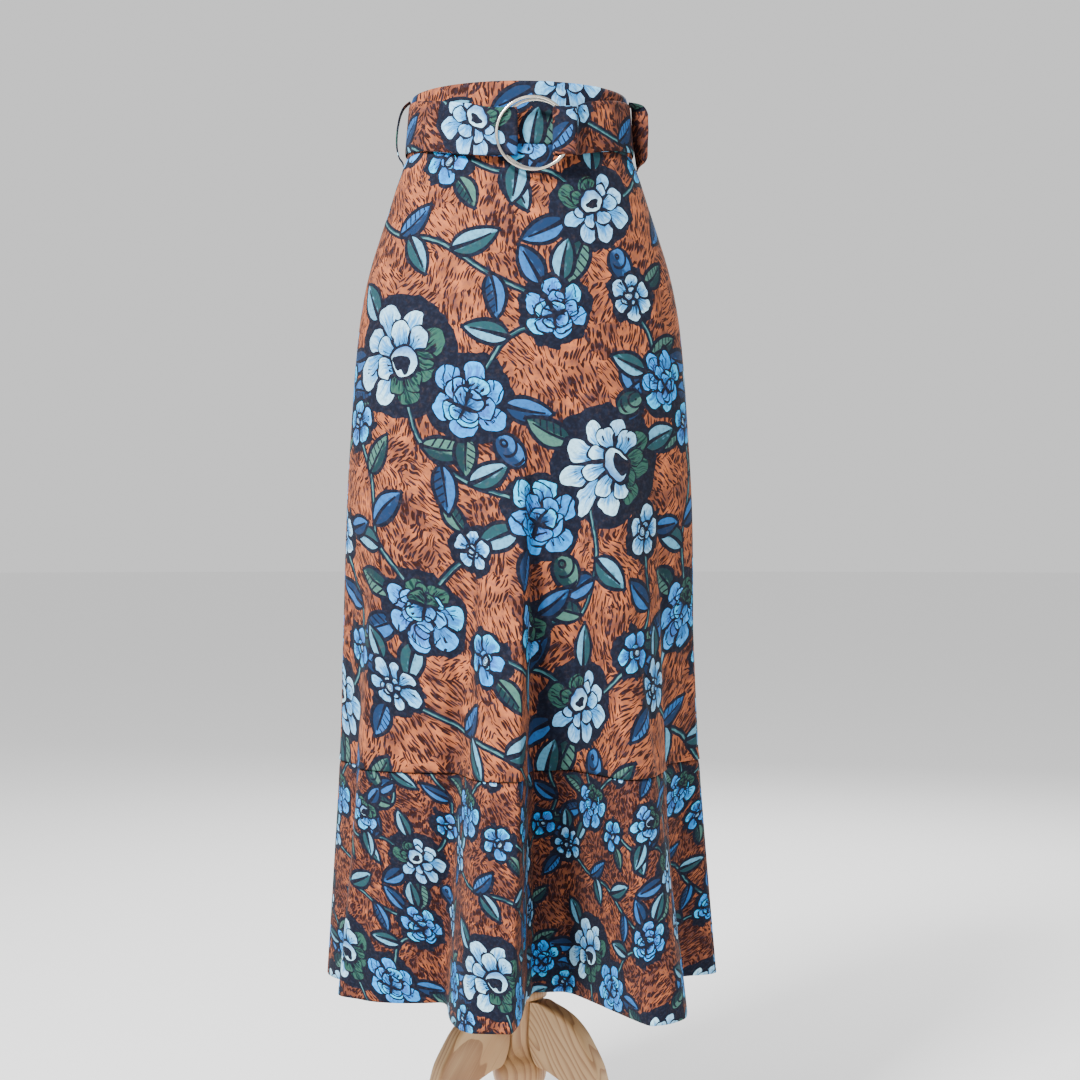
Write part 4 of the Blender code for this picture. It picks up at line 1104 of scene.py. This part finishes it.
# -------- the belt
# A long strap of the same cloth, folded and topstitched at both edges. Its stitched tail holds both rings, it
# runs round the waist through two loops, and its free end goes through the rings and back over the rear one.
BELT_WIDTH, BELT_THICK, BELT_EASE = 0.052, 0.0016, 0.0010
BELT_SIDE_HEIGHT, BELT_FRONT_DIP = 1.1245, 0.0215
BUCKLE_WIDTH, BUCKLE_BACK = 0.048, -0.1000
BUCKLE_HEIGHT = BELT_SIDE_HEIGHT - BELT_FRONT_DIP
RING_WIRE, RING_DROP = 0.0016, 0.0024
RING_FRONT_X, RING_FRONT_RADIUS, RING_REAR_X, RING_REAR_RADIUS = 0.0145, 0.0363, 0.0170, 0.0345
GAP = 0.0003
BELT_CLOSE, BELT_LAYER = BELT_EASE + BELT_THICK / 2, BELT_THICK + GAP
STITCH_IN, STITCH_DEEP, STITCH_WIDE = 0.0030, 0.00022, 0.0008
THIN_EDGE = 0.00008  # the least half thickness of a strap
BELT_STEP, BELT_ACROSS = 0.0016, 20


def on_waist(angle_deg, z):
    """Places on the unfolded sections, and the unit directions along them and out from them."""
    before, here, after = (section(angle_deg + step, z, folded=False) for step in (-0.5, 0.0, 0.5))
    ahead = after - before
    return here, ahead / np.linalg.norm(ahead, axis=1, keepdims=True), level_out(ahead)


def belt_run(angles_deg, layers=0.0):
    """The belt's top and bottom edges where it follows the waist: points of the sections, set out by so many
    layers of belt."""
    angle = np.asarray(angles_deg, float)
    z = BELT_SIDE_HEIGHT - BELT_FRONT_DIP * np.clip(np.cos(np.radians(angle)), 0.0, 1.0) ** 2
    edges = (on_waist(angle, z + half) for half in (BELT_WIDTH / 2, -BELT_WIDTH / 2))
    return np.concatenate([here + out * (BELT_CLOSE + layers * BELT_LAYER) for here, _, out in edges], axis=1)


def flat_run(points):
    """The belt's edges where it stands upright at the buckle, along a path in plan."""
    top, low = BUCKLE_HEIGHT + BUCKLE_WIDTH / 2, BUCKLE_HEIGHT - BUCKLE_WIDTH / 2
    return np.array([(x, y, top, x, y, low) for x, y in points])


def between(first, last, share, layers):
    """The edges this share of the way from one section to another, set out from the straight line between
    them."""
    out = level_out((last - first).reshape(2, 3)).reshape(1, 6)
    return first + (last - first) * share + out * (layers * BELT_LAYER)


def arc(x, y, radius, from_deg, to_deg, steps):
    """Points on a circle's arc, in plan."""
    angles = np.radians(np.linspace(from_deg, to_deg, steps))
    return [(x + radius * math.cos(a), y + radius * math.sin(a)) for a in angles]


# the layers at the buckle, from back to front: the stitched tail, the rear ring, the free end, the front
# ring, and the strap over both rings
half = BELT_THICK / 2
base = BUCKLE_BACK - half
rear_ring = BUCKLE_BACK - BELT_THICK - GAP - RING_WIRE
returned = rear_ring - RING_WIRE - GAP - half
front_ring = returned - half - GAP - RING_WIRE
over = front_ring - RING_WIRE - GAP - half
turn_x, fold_x, fold = RING_FRONT_X + 0.0207, RING_REAR_X - 0.0211, (base - returned) / 2
right_turn = [
    (turn_x + 0.014, base),
    (turn_x + 0.008, base),
    *arc(turn_x + 0.0025, base - 0.0025, 0.0025, 90.0, 180.0, 4),
    *arc(turn_x + 0.0025, over + 0.0025, 0.0025, 180.0, 270.0, 4),
    (turn_x + 0.008, over),
    *arc(turn_x + 0.0193, over + 0.002, 0.002, 270.0, 330.0, 3),
]
left_turn = [
    (fold_x - 0.023, base),
    (fold_x - 0.008, base),
    *arc(fold_x, base - fold, fold, 90.0, -90.0, 7),
    (fold_x - 0.008, returned),
    (fold_x - 0.0189, returned),
]
belt_stations = np.concatenate(
    [
        belt_run(np.linspace(58.0, 42.0, 4)),
        flat_run(right_turn),
        between(flat_run(right_turn[:1]), belt_run([42.0]), 0.42, 1.5),
        belt_run([42.0], 1.4),
        belt_run([48.0, 54.0], 1.15),
        belt_run([61.0], 0.9),
        belt_run(np.arange(68.0, 316.0, 7.0)),
        belt_run([-38.0], 0.5),
        belt_run([-31.0], 1.2),
        flat_run(left_turn),
        belt_run([-31.0], 2.9),
        belt_run([-38.0], 1.7),
        belt_run(np.linspace(-44.0, -58.0, 3), 1.0),
    ]
)


def strap(name, node, stations, width, step, across_count, print_from, upright):
    """A flat strap carried along pairs of edge points, and its length. Its cross-section is a rounded slab:
    the thickness at s from the middle is t * (1 - |2s / width|^10)^0.5, with a shallow groove of topstitching
    near each edge. The print stands along or across it."""
    path = through(stations, step)
    across, middle = path[:, :3] - path[:, 3:], (path[:, :3] + path[:, 3:]) / 2
    out = np.cross(np.gradient(middle, axis=0), across)
    out /= np.linalg.norm(out, axis=1, keepdims=True)
    s = np.sin(np.linspace(-1.0, 1.0, across_count) * math.pi / 2) * 0.5
    s = 0.35 * s + 0.65 * np.linspace(-0.5, 0.5, across_count)
    thickness = BELT_THICK / 2 * np.sqrt(np.clip(1.0 - np.abs(2.0 * s) ** 10, 0.0, 1.0))
    groove = STITCH_DEEP * np.exp(-(((0.5 - np.abs(s)) * width - STITCH_IN) ** 2) / STITCH_WIDE**2)
    thickness = np.maximum(thickness - groove, THIN_EDGE)
    slab = middle[:, None] + across[:, None] * s[None, :, None]
    raised = out[:, None] * thickness[None, :, None]
    loop = np.concatenate([slab + raised, (slab - raised)[:, ::-1]], axis=1)
    run = travelled(middle)
    flat = np.stack(np.broadcast_arrays(run[:, None], np.concatenate([s, s[::-1]])[None] * width), axis=-1)
    made = new_piece(name, loop, tube_faces(*loop.shape[:2]), DENSE_COTTON)
    bm = bmesh.new()
    bm.from_mesh(made.data)
    bmesh.ops.recalc_face_normals(bm, faces=bm.faces[:])
    bm.to_mesh(made.data)
    bm.free()
    corners = flat.reshape(-1, 2)[whole_numbers(made.data.loops, "vertex_index")]
    lay_print(made.data, corners[:, ::-1] if upright else corners, print_from, 1.0)
    dress(made, node)
    return made, round(float(run[-1]), 3)


belt_path = (belt_stations, BELT_WIDTH, BELT_STEP, BELT_ACROSS)
belt, belt_length = strap("cloth_belt", "belt", *belt_path, (0.30, 0.05), upright=False)

# -------- the rings
# Two round rings of bright nickel wire, bent to a circle and welded shut. The strap's stitched tail holds
# both, one behind the other, and its free end passes between them.
NICKEL, NICKEL_DULL = (0.66, 0.63, 0.56), (0.46, 0.42, 0.35)
RING_STEPS, WIRE_STEPS = 160, 20


def nickel_material():
    """Polished nickel, a little warm, with fine scratches round the wire and a few dull patches."""
    material, tree, shader = plain_material("bright_nickel", NICKEL, 0.18, 1.0)
    dull, scratch, _ = noise(shader_node("TexCoord", {}, tree).outputs["Object"], 120.0, 3.0)
    rough = soft_step(-0.2, 2.4, dull + scratch * 0.2)
    feed(shader, {"Base Color": mix(dull, NICKEL, NICKEL_DULL), "Roughness": rough})
    return material


def ring_piece(name, node, centre_x, centre_y, radius):
    """A torus: a circle of wire carried round a circle that faces the front."""
    around, wire = circle(RING_STEPS)[:, None], circle(WIRE_STEPS)[None, :]
    reach = radius + RING_WIRE * np.cos(wire)
    x, z = centre_x + reach * np.sin(around), BUCKLE_HEIGHT - RING_DROP + reach * np.cos(around)
    points = np.stack([x, centre_y + RING_WIRE * np.sin(wire) + 0.0 * around, z], axis=-1)
    faces = grid_faces(RING_STEPS + 1, WIRE_STEPS, closed=True) % (RING_STEPS * WIRE_STEPS)
    made = new_piece(name, points, faces.tolist(), nickel)
    dress(made, node)
    return made


nickel = nickel_material()
rings = [
    ring_piece("nickel_ring_front", "ring_front", RING_FRONT_X, front_ring, RING_FRONT_RADIUS),
    ring_piece("nickel_ring_rear", "ring_rear", RING_REAR_X, rear_ring, RING_REAR_RADIUS),
]

# -------- the belt's loops
# Two straps of folded cloth at the side seams, caught at the waist edge and under the waist seam. The right
# one is wider and twisted, so that its face shows from the front.
LEFT_LOOP = (  # height, stands out from the waistband, twist in degrees
    (1.156, 0.0012, 0.0), (1.1545, 0.0034, 0.0), (1.1495, 0.0082, 0.0), (1.142, 0.0114, 0.0),
    (1.132, 0.0132, 0.0), (1.122, 0.0138, 0.0), (1.112, 0.0132, 0.0), (1.103, 0.011, 0.0),
    (1.0965, 0.0076, 0.0), (1.0925, 0.0036, 0.0), (1.089, 0.0014, 0.0),
)
RIGHT_LOOP = (
    (1.1532, 0.0012, 0.0), (1.1524, 0.005, 12.0), (1.15, 0.01, 36.0), (1.144, 0.0122, 52.0),
    (1.134, 0.0124, 55.0), (1.124, 0.0122, 54.0), (1.114, 0.0114, 48.0), (1.104, 0.0107, 42.0),
    (1.096, 0.0096, 36.0), (1.091, 0.0074, 26.0), (1.0875, 0.0042, 10.0), (1.0845, 0.0014, 0.0),
)
LOOP_STEP, LOOP_ACROSS = 0.0014, 10
LOOPS = (  # piece, solid, rows, angle, width, where its print starts
    ("belt_loop_left", "loop_left", LEFT_LOOP, -90.0, 0.010, (0.083, 0.335)),
    ("belt_loop_right", "loop_right", RIGHT_LOOP, 89.0, 0.021, (0.40, 0.42)),
)

for name, node, rows, angle, width, print_from in LOOPS:
    z, out, twist = np.array(rows).T[..., None]
    here, along, normal = on_waist(angle, z[:, 0])
    across = (along * np.cos(np.radians(twist)) - normal * np.sin(np.radians(twist))) * width / 2
    middle = here + normal * out
    stations = np.concatenate([middle + across, middle - across], axis=1)
    loop, loop_length = strap(name, node, stations, width, LOOP_STEP, LOOP_ACROSS, print_from, upright=True)
